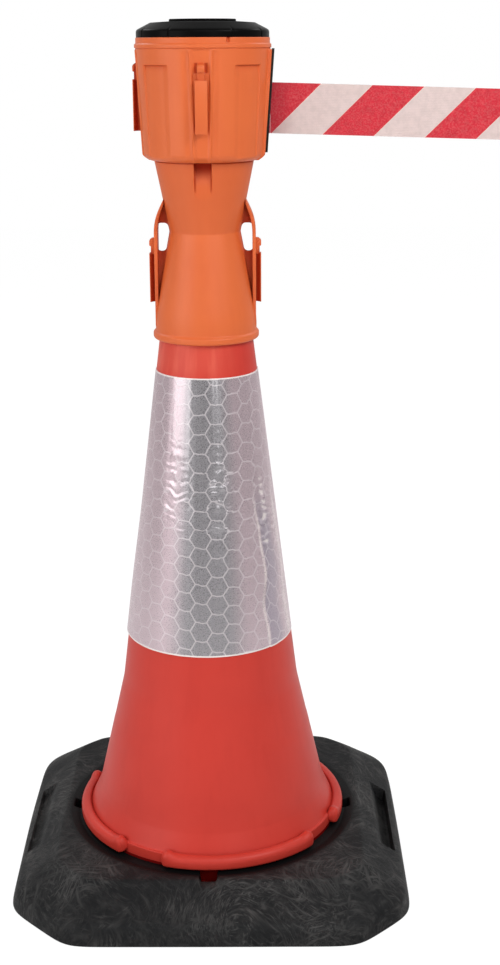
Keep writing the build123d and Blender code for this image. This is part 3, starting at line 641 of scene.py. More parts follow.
@dataclass(frozen=True)
class MouldedPlastic:
    """Satin moulded plastic with a fine grain and soft patches.

    Attributes:
        name: Name of the material.
        colour: Main colour.
        shade: Colour of the deeper patches.
        rough: Roughness.
        grain: Depth of the grain in metres.
        specular: Strength of the surface reflection.
        deep: Colour of the painted shade that covers narrow gaps, inner corners and the points of the painted
            shade layer.
        reach: Width of the gaps that count as narrow, in metres.
        painted_highlight: Colour of a painted highlight on the upper part, fading out towards the right side.
        painted_highlight_from: Height in metres above which the painted highlight starts.
        worn: Height in metres above which handling has made it dull.
    """

    name: str
    colour: Colour
    shade: Colour
    rough: float = 0.42
    grain: float = 0.00004
    specular: float = 0.5
    deep: Colour | None = None
    reach: float = 0.012
    painted_highlight: Colour | None = None
    painted_highlight_from: float = 0.0
    worn: float | None = None

    def make(self) -> bpy.types.Material:
        """Build the material.

        Returns:
            The material.
        """
        bench = Bench(self.name)
        place = bench.place()
        patches = bench.cloud(place, 16.0, 3.0)
        grain = bench.cloud(place, 1400.0, 2.0)
        streaks = bench.cloud(bench.turned(place, (90.0, 90.0, 5.0)), 1.0, 3.0)
        tone = patches.rise(0.3, 0.75) * 0.5 + streaks.rise(0.45, 0.75) * 0.3 + grain * 0.2
        rough = self.rough + (patches - 0.5) * 0.12 + (grain - 0.5) * 0.1
        colour = bench.blend(tone, self.colour, self.shade)
        along, _, height = bench.parts(place)
        if self.worn:
            rough = rough + height.rise(self.worn, self.worn + 0.0015) * 0.34
        # Painted highlight: the upper part turns lighter, in streaks, and fades out towards the right side.
        if self.painted_highlight:
            highlight_share = height.rise(self.painted_highlight_from, self.painted_highlight_from + 0.03)
            highlight_share = highlight_share * (0.4 + streaks.rise(0.4, 0.65) * 0.5) * along.rise(0.038, 0.004)
            colour = bench.blend(highlight_share, colour, self.painted_highlight)
        # Painted shade: a dull dark shader covers narrow gaps, found by ambient occlusion, and the points of
        # the piece's painted shade layer.
        if self.deep:
            closed = bench.gap(self.reach).rise(0.4, 0.9) * 0.6
            dull = {"Base Color": self.deep, "Roughness": 0.8, "Specular IOR Level": 0.0}
            bench.cover(closed.most(bench.painted("shade")), bench.node("BsdfPrincipled", None, dull))
        return bench.surface({
            "Base Color": colour,
            "Roughness": rough,
            "Specular IOR Level": self.specular,
            "Normal": bench.relief(grain, self.grain, 0.5),
        })


@dataclass(frozen=True)
class CrumbRubber:
    """Recycled rubber with short brushed fibres.

    Attributes:
        name: Name of the material.
        colour: Colour of the rubber.
        fibre: Colour of the fibres.
        dust: Colour of the dusty patches.
    """

    name: str
    colour: Colour
    fibre: Colour
    dust: Colour

    def make(self) -> bpy.types.Material:
        """Build the material.

        Returns:
            The material.
        """
        bench = Bench(self.name)
        place = bench.place()
        bent = bench.warped(place, 9.0, 0.11)
        patches = bench.cloud(place, 11.0, 4.0, 0.6)
        crumbs = bench.cloud(place, 620.0, 3.0, 0.65)
        fibres = crumbs.rise(0.62, 0.8) * 0.3
        for turn in (20.0, 65.0, 110.0, 155.0):
            fine = bench.cloud(bench.turned(bent, (560.0, 56.0, 180.0), turn), 1.0, 3.0, 0.65).rise(0.5, 0.78)
            broad = bench.cloud(bench.turned(bent, (230.0, 26.0, 90.0), turn), 1.0, 3.0, 0.6).rise(0.46, 0.74)
            tufts = bench.cloud(bench.turned(place, (1.0, 1.0, 1.0), turn * 3), 17.0, 2.0).rise(0.38, 0.6)
            fibres = fibres.most((fine * 0.75).most(broad * 0.6) * tufts)
        out = self.ring(bench, place)
        marks = fibres * (0.3 + patches.rise(0.38, 0.66) * 0.7) * out.rise(0.161, 0.170)
        dusty = bench.blend(patches.rise(0.42, 0.75) * 0.6, self.colour, self.dust)
        # Painted shade: a dark ring in the well round the cone's lip, the insides of the hand slots and the
        # keyways' run-outs.
        painted_shade = (out.rise(0.1675, 0.1635) * 0.85).most(self.slots(bench, place))
        dust_and_shade = bench.blend(painted_shade, dusty, tuple(c * 0.25 for c in self.colour))
        height = crumbs * 0.5 + marks * 0.5
        return bench.surface({
            "Base Color": bench.blend(marks * 0.72, dust_and_shade, self.fibre),
            "Roughness": 0.6 + (crumbs - 0.5) * 0.3,
            "Specular IOR Level": 0.2,
            "Normal": bench.relief(height, 0.0007, 0.6),
        })

    @staticmethod
    def slots(bench: Bench, place: bpy.types.NodeSocket) -> Signal:
        """Give painted shade for the inside of the hand slots, stronger in the right-hand slot, and for the
        keyways' run-outs.

        Args:
            bench: Node tree of the material.
            place: Place of the point.

        Returns:
            More in the deep slot than in the shallow one, and 0 elsewhere.
        """
        along, across, _ = bench.parts(place)
        out = abs(along)
        slots = out.rise(0.189, 0.203) * (out < 0.2061) * (abs(across) < 0.0684) * ((along > 0) * 0.5 + 0.25)
        return slots.most((out < 0.0088) * abs(across).rise(0.182, 0.164) * 0.85)

    @staticmethod
    def ring(bench: Bench, place: bpy.types.NodeSocket) -> Signal:
        """Give a place's distance from the axis in metres."""
        along, across, _ = bench.parts(place)
        return (along * along + across * across).root()


@dataclass(frozen=True)
class PrismFilm:
    """Reflective film with a honeycomb of seals under a clear skin.

    Attributes:
        name: Name of the material.
        colour: Colour of the cells at the front, grey as a painted reflection.
        sides: Their colour at the sides, pinkish as a painted reflection.
        flap_reflection: Their colour on the loose overlap, a painted reflection.
        seal: Colour of the lines between the cells.
        edge: Colour of the cut edges, also of the pale seam lines and the painted glints.
        side: Side of a cell in metres.
        line: Half width of a line in metres.
        low: Height of the lower edge in metres.
        high: Height of the upper edge in metres.
        offset: Shift of the honeycomb in metres.
    """

    name: str
    colour: Colour
    sides: Colour
    flap_reflection: Colour
    seal: Colour
    edge: Colour
    side: float
    line: float
    low: float
    high: float
    offset: tuple[float, float] = (0.0, 0.0)
    layer: str = "film"

    def make(self) -> bpy.types.Material:
        """Build the material.

        Returns:
            The material.
        """
        bench = Bench(self.name)
        along, up, _ = bench.parts(bench.spread(self.layer))
        place = bench.place()
        wide = 3 * self.side
        tall = math.sqrt(3) * self.side
        first = self.cell(along + self.offset[0], up + self.offset[1], wide, tall)
        second = self.cell(along + self.offset[0] + wide / 2, up + self.offset[1] + tall / 2, wide, tall)
        reach = first.least(second)
        edge = tall / 2
        seals = reach.rise(edge - 2.2 * self.line, edge - self.line * 0.6)
        prisms = bench.cloud(place, 900.0, 2.0, 0.7)
        glints = bench.cloud(place, 2600.0, 1.0)
        patches = bench.cloud(place, 30.0, 3.0)
        side, depth, height = bench.parts(place)
        rims = (height < self.low + 0.0018).most(height > self.high - 0.0014)
        tone = prisms * 0.55 + glints * 0.45
        # Painted reflection: grey cells at the front, pinkish towards the sides, fixed round the axis; the
        # tones of the prisms and seals follow it.
        turned = (abs(side) / (side * side + depth * depth).root()).rise(0.22, 0.55)
        reflection_tint = bench.blend(turned, self.colour, self.sides)
        cells = bench.blend(tone.rise(0.68, 0.34) * (0.4 - turned * 0.26), reflection_tint, BLACK)
        # Painted reflection on the loose overlap.
        over = bench.blend(bench.painted("flap_reflection") * 0.7, cells, self.flap_reflection)
        lined = bench.blend(seals * (0.62 - turned * 0.12), over, self.seal)
        # The rim layer holds pale lines along the seam and painted glints on the crests of the right-hand
        # creases.
        edge_and_glint = bench.painted("rim")
        lined = bench.blend(edge_and_glint * 0.9, lined, self.edge)
        return bench.surface({
            "Base Color": bench.blend(rims, lined, self.edge),
            "Metallic": (0.82 - seals * 0.3) * (1 - rims) * (1 - edge_and_glint * 0.7),
            "Roughness": 0.27 + (prisms - 0.5) * 0.3 + patches * 0.06 + seals * 0.08,
            "Coat Weight": 0.68,
            "Coat Roughness": 0.06,
            "Coat IOR": 1.7,
            "Sheen Weight": 0.5,
            "Sheen Roughness": 0.45,
            "Sheen Tint": (1.0, 0.72, 0.80),
            "Normal": bench.relief(prisms * 0.7 + seals * 0.5, 0.00014, 0.55),
        })

    @staticmethod
    def cell(along: Signal, up: Signal, wide: float, tall: float) -> Signal:
        """Give the honeycomb distance from the nearest centre of one half of the cells.

        Args:
            along: Place across the film.
            up: Place up the film.
            wide: Step of the centres across.
            tall: Step of the centres upwards.

        Returns:
            The distance, which is half of tall on a cell's edge.
        """
        off_along = abs(along % wide - wide / 2)
        off_up = abs(up % tall - tall / 2)
        return off_up.most(off_along * (math.sqrt(3) / 2) + off_up * 0.5)


@dataclass(frozen=True)
class StripedWebbing:
    """Woven belt with slanted stripes.

    Attributes:
        name: Name of the material.
        red: Colour of the dark stripes.
        pale: Colour of the pale stripes.
        border: Colour of the thin line between them.
        pitch: Width of a stripe along the belt in metres.
        start: Place of the first border on the lower edge in metres.
    """

    name: str
    red: Colour
    pale: Colour
    border: Colour
    pitch: float
    start: float
    layer: str = "belt"

    def make(self) -> bpy.types.Material:
        """Build the material.

        Returns:
            The material.
        """
        bench = Bench(self.name)
        along, across, _ = bench.parts(bench.spread(self.layer))
        place = bench.place()
        lean = (along - across - self.start) / self.pitch
        phase = lean % 2
        red = phase > 1.0
        to_line = abs(lean % 1 - 0.5)
        border = to_line.rise(0.478, 0.49) * (1 - red)
        threads = (along * 5200.0).sine() * (across * 5200.0).sine() * 0.5 + 0.5
        ribs = (across * 3900.0).sine() * 0.5 + 0.5
        patches = bench.cloud(place, 130.0, 4.0, 0.65)
        specks = bench.cloud(place, 700.0, 2.0)
        pale = bench.blend(patches.rise(0.35, 0.7) * 0.7, self.pale, tuple(c * 0.86 for c in self.pale))
        dark = bench.blend(patches.rise(0.35, 0.7) * 0.6, self.red, tuple(c * 0.76 for c in self.red))
        stripes = bench.blend(red, pale, dark)
        lined = bench.blend(border * 0.8, stripes, self.border)
        worn = bench.blend((specks - 0.5) * 0.3 + threads * 0.06, lined, self.border)
        # Painted shade: darker close to the exit slot and on the belt wound inside the head.
        shade = along.rise(0.03, 0.0) * 0.3
        return bench.surface({
            "Base Color": bench.blend(shade, worn, tuple(c * 0.5 for c in self.red)),
            "Roughness": 0.62 + threads * 0.2,
            "Sheen Weight": 0.15,
            "Sheen Roughness": 0.4,
            "Specular IOR Level": 0.35,
            "Normal": bench.relief(threads * 0.7 + ribs * 0.3, 0.00025, 0.6),
        })


@dataclass(frozen=True)
class Metal:
    """Plain turned or rolled steel.

    Attributes:
        name: Name of the material.
        colour: Colour of the metal.
        rough: Roughness.
    """

    name: str
    colour: Colour
    rough: float

    def make(self) -> bpy.types.Material:
        """Build the material.

        Returns:
            The material.
        """
        bench = Bench(self.name)
        place = bench.place()
        lines = bench.cloud(bench.turned(place, (300.0, 300.0, 3000.0)), 1.0, 2.0)
        stains = bench.cloud(place, 90.0, 3.0)
        return bench.surface({
            "Base Color": bench.blend(stains * 0.5, self.colour, tuple(c * 0.7 for c in self.colour)),
            "Metallic": 1.0,
            "Roughness": self.rough + (lines - 0.5) * 0.2 + (stains - 0.5) * 0.15,
            "Normal": bench.relief(lines, 0.00003, 0.5),
        })


class Finishes:
    """All materials of the barrier."""

    def __init__(self) -> None:
        """Make each material."""
        # The deep colours are the colours of the painted shade in gaps.
        self.orange = MouldedPlastic(
            "topper orange", srgb(229, 110, 55), srgb(221, 101, 48), 0.43, specular=0.42,
            deep=srgb(156, 26, 15),
        ).make()
        # After the specular value come the painted shade colour, its gap reach, a painted highlight colour
        # and the height above which that highlight is painted.
        self.red = MouldedPlastic(
            "cone red", srgb(213, 65, 53), srgb(203, 58, 47), 0.4, 0.00003, 0.24, srgb(120, 16, 14), 0.009,
            srgb(230, 100, 80), 0.55,
        ).make()
        self.lid = MouldedPlastic(
            "lid black", srgb(12, 11, 11), srgb(8, 8, 8), 0.3, 0.00001, 0.04, worn=0.9118
        ).make()
        self.trim = MouldedPlastic(
            "trim black", srgb(22, 20, 20), srgb(14, 13, 14), 0.36, specular=0.25
        ).make()
        self.grey = MouldedPlastic("cassette grey", srgb(92, 94, 96), srgb(76, 78, 80), 0.48).make()
        self.white = MouldedPlastic("bush white", srgb(226, 224, 216), srgb(208, 206, 198), 0.4).make()
        self.rubber = CrumbRubber(
            "base rubber", srgb(13, 14, 16), srgb(117, 115, 113), srgb(27, 27, 28)
        ).make()
        self.film = PrismFilm(
            "film silver", srgb(182, 178, 182), srgb(217, 195, 202), srgb(164, 156, 172), srgb(230, 221, 224),
            srgb(244, 234, 230), 0.0118, 0.00045, 0.2685, 0.5625, (-0.0021, -0.0043),
        ).make()
        self.belt = StripedWebbing(
            "belt webbing", srgb(214, 38, 56), srgb(225, 204, 200), srgb(240, 214, 202), 0.052, 0.0011
        ).make()
        self.steel = Metal("screw steel", (0.62, 0.62, 0.63), 0.3).make()
        self.spring = Metal("spring steel", (0.36, 0.38, 0.42), 0.34).make()


@dataclass
class RubberBase:
    """Heavy square base with cut corners, a round well, keyways and two hand slots."""

    finishes: Finishes
    half: float = 219.0
    shoulder: float = 214.0
    shoulder_up: float = 20.0
    top_half: float = 168.0
    height: float = 49.5
    diagonal: float = 261.5
    corner_power: float = 38.0
    edge_round: float = 16.0
    land_round: float = 9.0
    well: float = 163.0
    seat: float = 152.5
    seat_up: float = 45.6
    bore: float = 141.5
    key_half: float = 8.75
    key_floor: float = 24.3
    lug_roof: float = 35.3
    lug_groove: float = 159.0
    gully: float = 5.0
    gully_run: float = 15.0
    slot_inner: float = 186.5
    slot_outer: float = 205.6
    slot_half_length: float = 68.0
    slot_floor: float = 12.0
    slot_shallow: float = 0.5
    trim_left: float = 0.020
    trim_right: float = 0.007
    trim_back: float = 60.0
    trim_front: float = -170.0
    swell: float = 0.5
    scoop_run: float = 3.0
    side_key_short: float = 5.0
    key_fall: float = 0.02
    corner_full: tuple[float, float, float, float] = (4.2, 6.2, -0.8, 5.0)
    steps: int = 720

    def outline(self, half: float, angle: float) -> float:
        """Give the outline's distance from the axis.

        Args:
            half: Distance to the flat sides.
            angle: Direction in radians.

        Returns:
            The distance in that direction.
        """
        diagonal = self.diagonal - (self.half - half)
        total = 0.0
        for side in range(8):
            reach = diagonal + self.corner_full[side // 2] if side % 2 else half
            lean = math.cos(angle - side * math.pi / 4)
            if lean > 0.5:
                total += (lean / reach) ** self.corner_power
        return total ** (-1 / self.corner_power)

    def shape(self, point: Vector) -> Vector:
        """Move a point of the turned blank to its place on the base.

        Args:
            point: Point of the blank.

        Returns:
            Its place on the piece.
        """
        out = math.hypot(point.x, point.y)
        angle = math.atan2(point.y, point.x)
        up = point.z
        reach = out
        if up < 0.5 and out > self.bore:
            share = (out - self.bore) / (self.half - self.bore)
            reach = self.bore + (self.outline(self.half, angle) - self.bore) * share
        elif out > self.well:
            share = min((out - self.well) / (self.top_half - self.well), 1.0)
            reach = self.well + (self.outline(max(out, self.top_half), angle) - self.well) * share
        place = Vector((math.cos(angle) * reach, math.sin(angle) * reach, up))
        trim = self.trim_left if place.x < 0 else self.trim_right
        trim *= ease(self.trim_back, self.trim_front, place.y)
        place.x *= 1 - trim * ease(self.well + 2, self.well + 30, reach)
        if up > self.slot_floor + 2:
            place.z = self.recess(place, out)
            if out > self.well + 1:
                swell = noise.noise(place * 0.035) * 0.7 + noise.noise(place * 0.12) * 0.3
                place.z += swell * self.swell * ease(self.seat_up - 40, self.seat_up - 20, up)
        return place

    def recess(self, place: Vector, out: float) -> float:
        """Give the height of a point after the hand slots and keyways are sunk.

        Args:
            place: Place of the point.
            out: Its distance from the axis before the outline was squared.

        Returns:
            The new height.
        """
        wide = abs(place.x)
        inside = ease(self.slot_half_length + 0.8, self.slot_half_length - 0.8, abs(place.y))
        inside *= ease(self.slot_outer + 0.7, self.slot_outer - 0.7, wide)
        scoop = ease(self.slot_inner, self.slot_outer - self.scoop_run, wide)
        scoop *= 1.0 if place.x > 0 else self.slot_shallow
        up = place.z + (self.slot_floor - place.z) * inside * scoop
        if out > self.bore - 0.2:
            long_key = abs(place.y) > abs(place.x)
            across = abs(place.x) if long_key else abs(place.y)
            inside = ease(self.key_half + 0.5, self.key_half - 0.5, across)
            full = long_key or place.z < self.lug_roof + 0.5
            end = self.well if full else self.well - self.side_key_short
            sunk = self.key_floor + self.key_fall * (place.z - self.seat_up)
            up += (sunk - up) * inside * ease(end + 1.4, end - 0.4, out)
            if long_key:
                up -= self.gully * inside * ease(end + self.gully_run, end, out) * ease(end - 1, end + 1, out)
        return up

    def build(self) -> None:
        """Build and dress the base."""
        piece = Workpiece("rubber_base")
        piece.lathe(
            [
                Corner(self.bore, 0, 1.0, 14),
                Corner(self.half, 0, 2.5, 3.5),
                Corner(self.shoulder, self.shoulder_up, self.edge_round, 1.15),
                Corner(self.top_half, self.height, self.land_round, 0.8),
                Corner(self.well, self.height, 1.2, 1.4),
                Corner(self.seat, self.seat_up, 1.2, 1.4),
                Corner(self.bore, self.seat_up, 1.0, 6),
                Corner(self.bore, self.lug_roof),
                Corner(self.lug_groove, self.lug_roof),
                Corner(self.lug_groove, self.key_floor),
                Corner(self.bore, self.key_floor),
            ],
            self.steps,
        )
        piece.mould(self.shape)
        piece.finish(Body.BASE, Slot.BASE_RUBBER, self.finishes.rubber, ["base_block"], 50.0)


@dataclass
class RedCone:
    """Moulded cone with a flared skirt, a lip in four runs and the lugs of its twist lock."""

    finishes: Finishes
    tip: float = 29.9
    top: float = 750.0
    knee: float = 97.3
    knee_up: float = 212.0
    foot: float = 127.0
    foot_up: float = 84.0
    root: float = 138.5
    root_up: float = 59.4
    wall: float = 3.0
    lip_root: float = 141.5
    lip: float = 150.5
    lip_low: float = 47.8
    lip_high: float = 62.6
    lip_round: float = 7.2
    lip_cap: float = 7.5
    lip_sweep: float = 72.0
    lip_start: float = -21.0
    spigot: float = 141.0
    spigot_low: float = 20.0
    spigot_wall: float = 3.5
    lug_reach: float = 155.5
    lug_half: float = 6.9
    lug_low: float = 24.8
    lug_high: float = 34.8
    lug_start: float = -30.0
    bulb: float = 3.2
    bulb_spread: float = 2.4
    bulb_out: float = 1.1
    bulb_up: float = 3.0
    mould_line: float = 161.0
    mould_step: float = 0.25
    steps: int = 288

    def radius(self, up: float) -> float:
        """Give the outer radius of the straight part at a height."""
        return self.tip + (self.knee - self.tip) * (self.top - up) / (self.top - self.knee_up)

    def bulge(self, point: Vector) -> Vector:
        """Raise the ends of a lip run into rounded bulbs.

        Args:
            point: Point of the blank.

        Returns:
            Its place on the piece.
        """
        out, angle = polar(point)
        if out < self.lip_root - 4.5:
            return point
        middle = self.lip_start + self.lip_sweep / 2
        off = abs(apart(angle, middle) + FULL_TURN) % 90.0
        off = min(off, 90.0 - off)
        end = self.lip_sweep / 2
        swell = bell(end - self.bulb, self.bulb_spread, off) * ease(self.lip_low + 2, self.lip_high, point.z)
        cap = math.degrees(self.lip_cap / out)
        past = min(max((off - end + cap) / cap, 0.0), 1.0)
        slim = math.sqrt(1 - 0.97 * past * past)
        core = self.lip_root - 1.0
        core_up = (self.lip_low + self.lip_high) / 2
        grow = (core + (out + self.bulb_out * swell - core) * slim) / out
        return spread_out(point, grow, core_up + (point.z + self.bulb_up * swell - core_up) * slim)

    def marks(self, point: Vector) -> Vector:
        """Add the faint step of the mould's joint to the skirt.

        Args:
            point: Point of the blank.

        Returns:
            Its place on the piece.
        """
        out = math.hypot(point.x, point.y)
        if point.z < self.foot_up or out < self.foot - 40 or point.z > self.knee_up:
            return point
        step = self.mould_step * ease(self.mould_line + 1.2, self.mould_line - 1.2, point.z)
        return spread_out(point, 1 + step / out, point.z)

    def shade(self, point: Vector) -> float:
        """Give how dark a point looks: the spigot stands deep in the base."""
        return float(point.z < self.lip_low + 0.1 and math.hypot(point.x, point.y) < self.spigot + 0.3)

    def build(self) -> None:
        """Build and dress the cone."""
        piece = Workpiece("red_cone")
        for run in range(4):
            piece.lathe(
                [
                    Corner(self.root - 1, self.lip_low, 0, 8),
                    Corner(self.lip, self.lip_low, 3.4, 3),
                    Corner(self.lip, self.lip_high, self.lip_round, 3),
                    Corner(self.lip_root - 2.0, self.lip_high, 4.4, 2),
                    Corner(self.root - 1, self.root_up - 3.5, 0, 8),
                ],
                90, True, self.lip_start + run * 90.0, self.lip_sweep,
            )
        piece.mould(self.bulge)
        for run in range(4):
            piece.block(
                Vector((self.spigot - 1.5, -self.lug_half, self.lug_low)),
                Vector((self.lug_reach, self.lug_half, self.lug_high)), self.lug_start + run * 90.0, 1.0,
            )
        piece.lathe(
            [
                Corner(self.tip, self.top, 0.8, 5),
                Corner(self.knee, self.knee_up, 120.0, 5),
                Corner(self.foot, self.foot_up, 75.0, 3),
                Corner(self.root, self.root_up, 0.8, 3),
                Corner(self.lip_root, self.root_up, 1.0, 5),
                Corner(self.lip_root, self.lip_low, 0.6, 5),
                Corner(self.spigot, self.lip_low, 0, 8),
                Corner(self.spigot, self.spigot_low, 0.8, 8),
                Corner(self.spigot - self.spigot_wall, self.spigot_low, 0.8, 8),
                Corner(self.spigot - self.spigot_wall, self.lip_low, 0, 8),
                Corner(self.root - self.wall, self.root_up, 0, 10),
                Corner(self.foot - self.wall, self.foot_up, 30.0, 12),
                Corner(self.knee - self.wall, self.knee_up, 120.0, 16),
                Corner(self.tip - self.wall, self.top, 0.8, 4),
            ],
            self.steps,
        )
        piece.mould(self.marks)
        piece.paint("shade", self.shade)
        piece.finish(Body.CONE, Slot.CONE_RED, self.finishes.red, ["cone_shell"])


@dataclass(frozen=True)
class Crease:
    """A group of folds in the film.

    Attributes:
        centre: Angle of its middle round the axis in degrees.
        spread: Its reach to each side in degrees.
        middle: Height of its middle in millimetres.
        reach: Its reach up and down in millimetres.
        step: Height from fold to fold in millimetres.
        lean: Climb of the folds in millimetres for each degree.
    """

    centre: float
    spread: float
    middle: float
    reach: float
    step: float
    lean: float


@dataclass
class FilmSleeve:
    """Thin film wrapped round the cone, with creases and a wavy overlap."""

    finishes: Finishes
    cone: RedCone
    low: float = 268.5
    high: float = 562.5
    gap: float = 0.1
    thickness: float = 0.7
    loose: float = 1.6
    deepest: float = -0.55
    highest: float = 2.6
    seam: float = -43.0
    steps: int = 416
    row: float = 1.45
    fold: float = 0.85
    creases: tuple[Crease, ...] = (
        Crease(-119.0, 12.0, 450.0, 33.0, 9.5, 0.10),
        Crease(-79.0, 11.0, 440.0, 46.0, 8.2, -0.16),
        Crease(-32.0, 13.0, 412.0, 32.0, 9.0, 0.35),
        Crease(60.0, 16.0, 420.0, 40.0, 9.0, -0.2),
        Crease(140.0, 14.0, 440.0, 44.0, 8.6, 0.15),
    )

    def folds(self, angle: float, up: float) -> float:
        """Give the height of the creases at a place.

        Args:
            angle: Angle round the axis in degrees.
            up: Height.

        Returns:
            The height above the smooth film.
        """
        lift = 0.16 * noise.noise(Vector((angle * 0.05, up * 0.012, 3.1)))
        lift += 0.2 * noise.noise(Vector((angle * 0.2, up * 0.006, 7.7)))
        for group in self.creases:
            share = bell(group.centre, group.spread, angle) * bell(group.middle, group.reach, up)
            if share > 0.01:
                wander = 5.5 * noise.noise(Vector((angle * 0.09, up * 0.05, group.centre)))
                fold = math.sin(2 * math.pi * (up + group.lean * angle) / group.step + wander)
                patch = 0.25 + 1.9 * noise.noise(Vector((angle * 0.16, up * 0.09, group.centre + 5)))
                lift += self.fold * share * fold * min(max(patch, 0.0), 1.2)
        return lift

    def crease(self, piece: Workpiece) -> None:
        """Raise the creases and the overlap on the outside of the film, mark the overlap for its painted
        reflection, and paint pale seam lines and painted glints on crease crests.

        Args:
            piece: Mesh of the film.
        """
        piece.bm.verts.layers.float.new("flap_reflection")
        rim = piece.bm.verts.layers.float.new("rim")
        flap_reflection = piece.bm.verts.layers.float["flap_reflection"]
        for vert in piece.bm.verts:
            point = vert.co
            out, angle = polar(point)
            up = point.z
            if out < self.cone.radius(up) + self.gap + self.thickness * 0.6:
                continue
            wave = self.seam + 6.0 * noise.noise(Vector((0.7, up * 0.025, 9.0))) + 1.6 * math.sin(up * 0.055)
            past = apart(angle, wave)
            strong = ease(455.0, 395.0, up)
            fold = self.folds(angle, up)
            lift = fold + (0.35 + 0.75 * strong) * ease(-0.4, 0.4, past) * ease(26.0, 3.0, past)
            lift -= 0.4 * strong * bell(11.0, 4.0, past)
            to_left = abs(apart(angle, Quarter.LEFT.value))
            lift += self.loose * ease(430.0, 300.0, up) * ease(120.0, 30.0, to_left)
            # Marks the loose overlap for its painted reflection.
            vert[flap_reflection] = strong * ease(0.2, 1.4, past) * ease(22.0, 9.0, past)
            worn = 0.8 + 0.6 * noise.noise(Vector((4.2, up * 0.05, 1.0)))
            # Painted glints on the crests of the right-hand creases, where no lamp is reflected.
            painted_glint = bell(-37.0, 13.0, angle) * ease(0.1, 0.4, fold)
            seam = strong * worn * max(bell(-0.5, 0.8, past), 0.9 * bell(29.0, 4.0, past))
            vert[rim] = max(seam, 0.9 * painted_glint)
            vert.co = spread_out(point, 1 + min(max(lift, self.deepest), self.highest) / out, up)

    def unroll(self, piece: Workpiece) -> None:
        """Lay the film flat in a UV map that is centred on the front.

        Args:
            piece: Mesh of the film.
        """
        layer = piece.bm.loops.layers.uv.new("film")
        slope = (self.cone.knee - self.cone.tip) / (self.cone.top - self.cone.knee_up)
        lean = math.sin(math.atan(slope))
        for face in piece.bm.faces:
            middle = face.calc_center_median()
            centre = apart(polar(middle)[1], Quarter.FRONT.value)
            for loop in face.loops:
                out, angle = polar(loop.vert.co)
                turn = centre + apart(angle - Quarter.FRONT.value, centre)
                reach = out / lean
                fan = math.radians(turn) * lean
                loop[layer].uv = (reach * math.sin(fan) * MM + 1.0, 2.0 - reach * math.cos(fan) * MM)

    def build(self) -> None:
        """Build and dress the sleeve."""
        piece = Workpiece("film_sleeve")
        inner = self.gap
        outer = self.gap + self.thickness
        piece.lathe(
            [
                Corner(self.cone.radius(self.low) + inner, self.low, 0, 1),
                Corner(self.cone.radius(self.low) + outer, self.low, 0.2, self.row),
                Corner(self.cone.radius(self.high) + outer, self.high, 0.2, 1),
                Corner(self.cone.radius(self.high) + inner, self.high, 0, 60),
            ],
            self.steps,
        )
        self.crease(piece)
        self.unroll(piece)
        piece.finish(Body.CONE, Slot.FILM_SILVER, self.finishes.film, ["reflective_sleeve"], 60.0)


@dataclass
class Receiver:
    """Rail on a stem with a nub above it, which a belt end slides onto."""

    rail_half: float = 6.1
    rail_length: float = 50.4
    rail_rim: float = 0.9
    rail_back: float = 2.8
    throat: float = 3.5
    stem_back: float = 4.6
    stem_half: float = 1.9
    nub_half: float = 3.5
    nub_gap: float = 7.4
    nub_height: float = 8.4
    nub_slope: float = 2.5
    pad_drop: float = 1.6
    root: float = 2.0
    edge: float = 0.7

    def build(
        self, piece: Workpiece, turn: float, face: float, low: float, root_low: float, root_high: float
    ) -> None:
        """Add the receiver to a piece.

        Args:
            piece: Mesh that it is moulded on.
            turn: Angle round the axis that it points to.
            face: Distance from the axis to its outside.
            low: Height of its lower end.
            root_low: Distance to the wall behind its lower end.
            root_high: Distance to the wall behind its upper end.
        """
        high = low + self.rail_length
        nub_low = high + self.nub_gap
        nub_high = nub_low + self.nub_height
        half = [
            Corner(face, self.rail_half, self.edge),
            Corner(face - self.rail_rim, self.rail_half, 0.3),
            Corner(face - self.rail_back, self.throat, 0.5),
            Corner(face - self.stem_back, self.stem_half, 0.5),
            Corner(root_low - self.root, self.stem_half),
        ]
        back = sideways(-turn)
        for vert in piece.prism(mirrored(half), low, high, turn, 0.5):
            spot = back @ vert.co
            if spot.x < face - self.stem_back - 0.8:
                share = (spot.z - low) / self.rail_length
                spot.x = root_low + (root_high - root_low) * share - self.root
                vert.co = sideways(turn) @ spot
        piece.slab(
            [
                (root_high - self.root, high - 1),
                (face - self.pad_drop, high - 1),
                (face - self.pad_drop, nub_low),
                (face - 0.7, nub_low),
                (face, nub_low + 0.9),
                (face, nub_high - self.nub_slope - 0.8),
                (face - 0.6, nub_high - self.nub_slope + 0.7),
                (face - self.nub_slope, nub_high - 0.3),
                (face - self.nub_slope - 0.9, nub_high),
                (root_high - self.root, nub_high),
            ],
            2 * self.nub_half, turn, 0.8,
        )


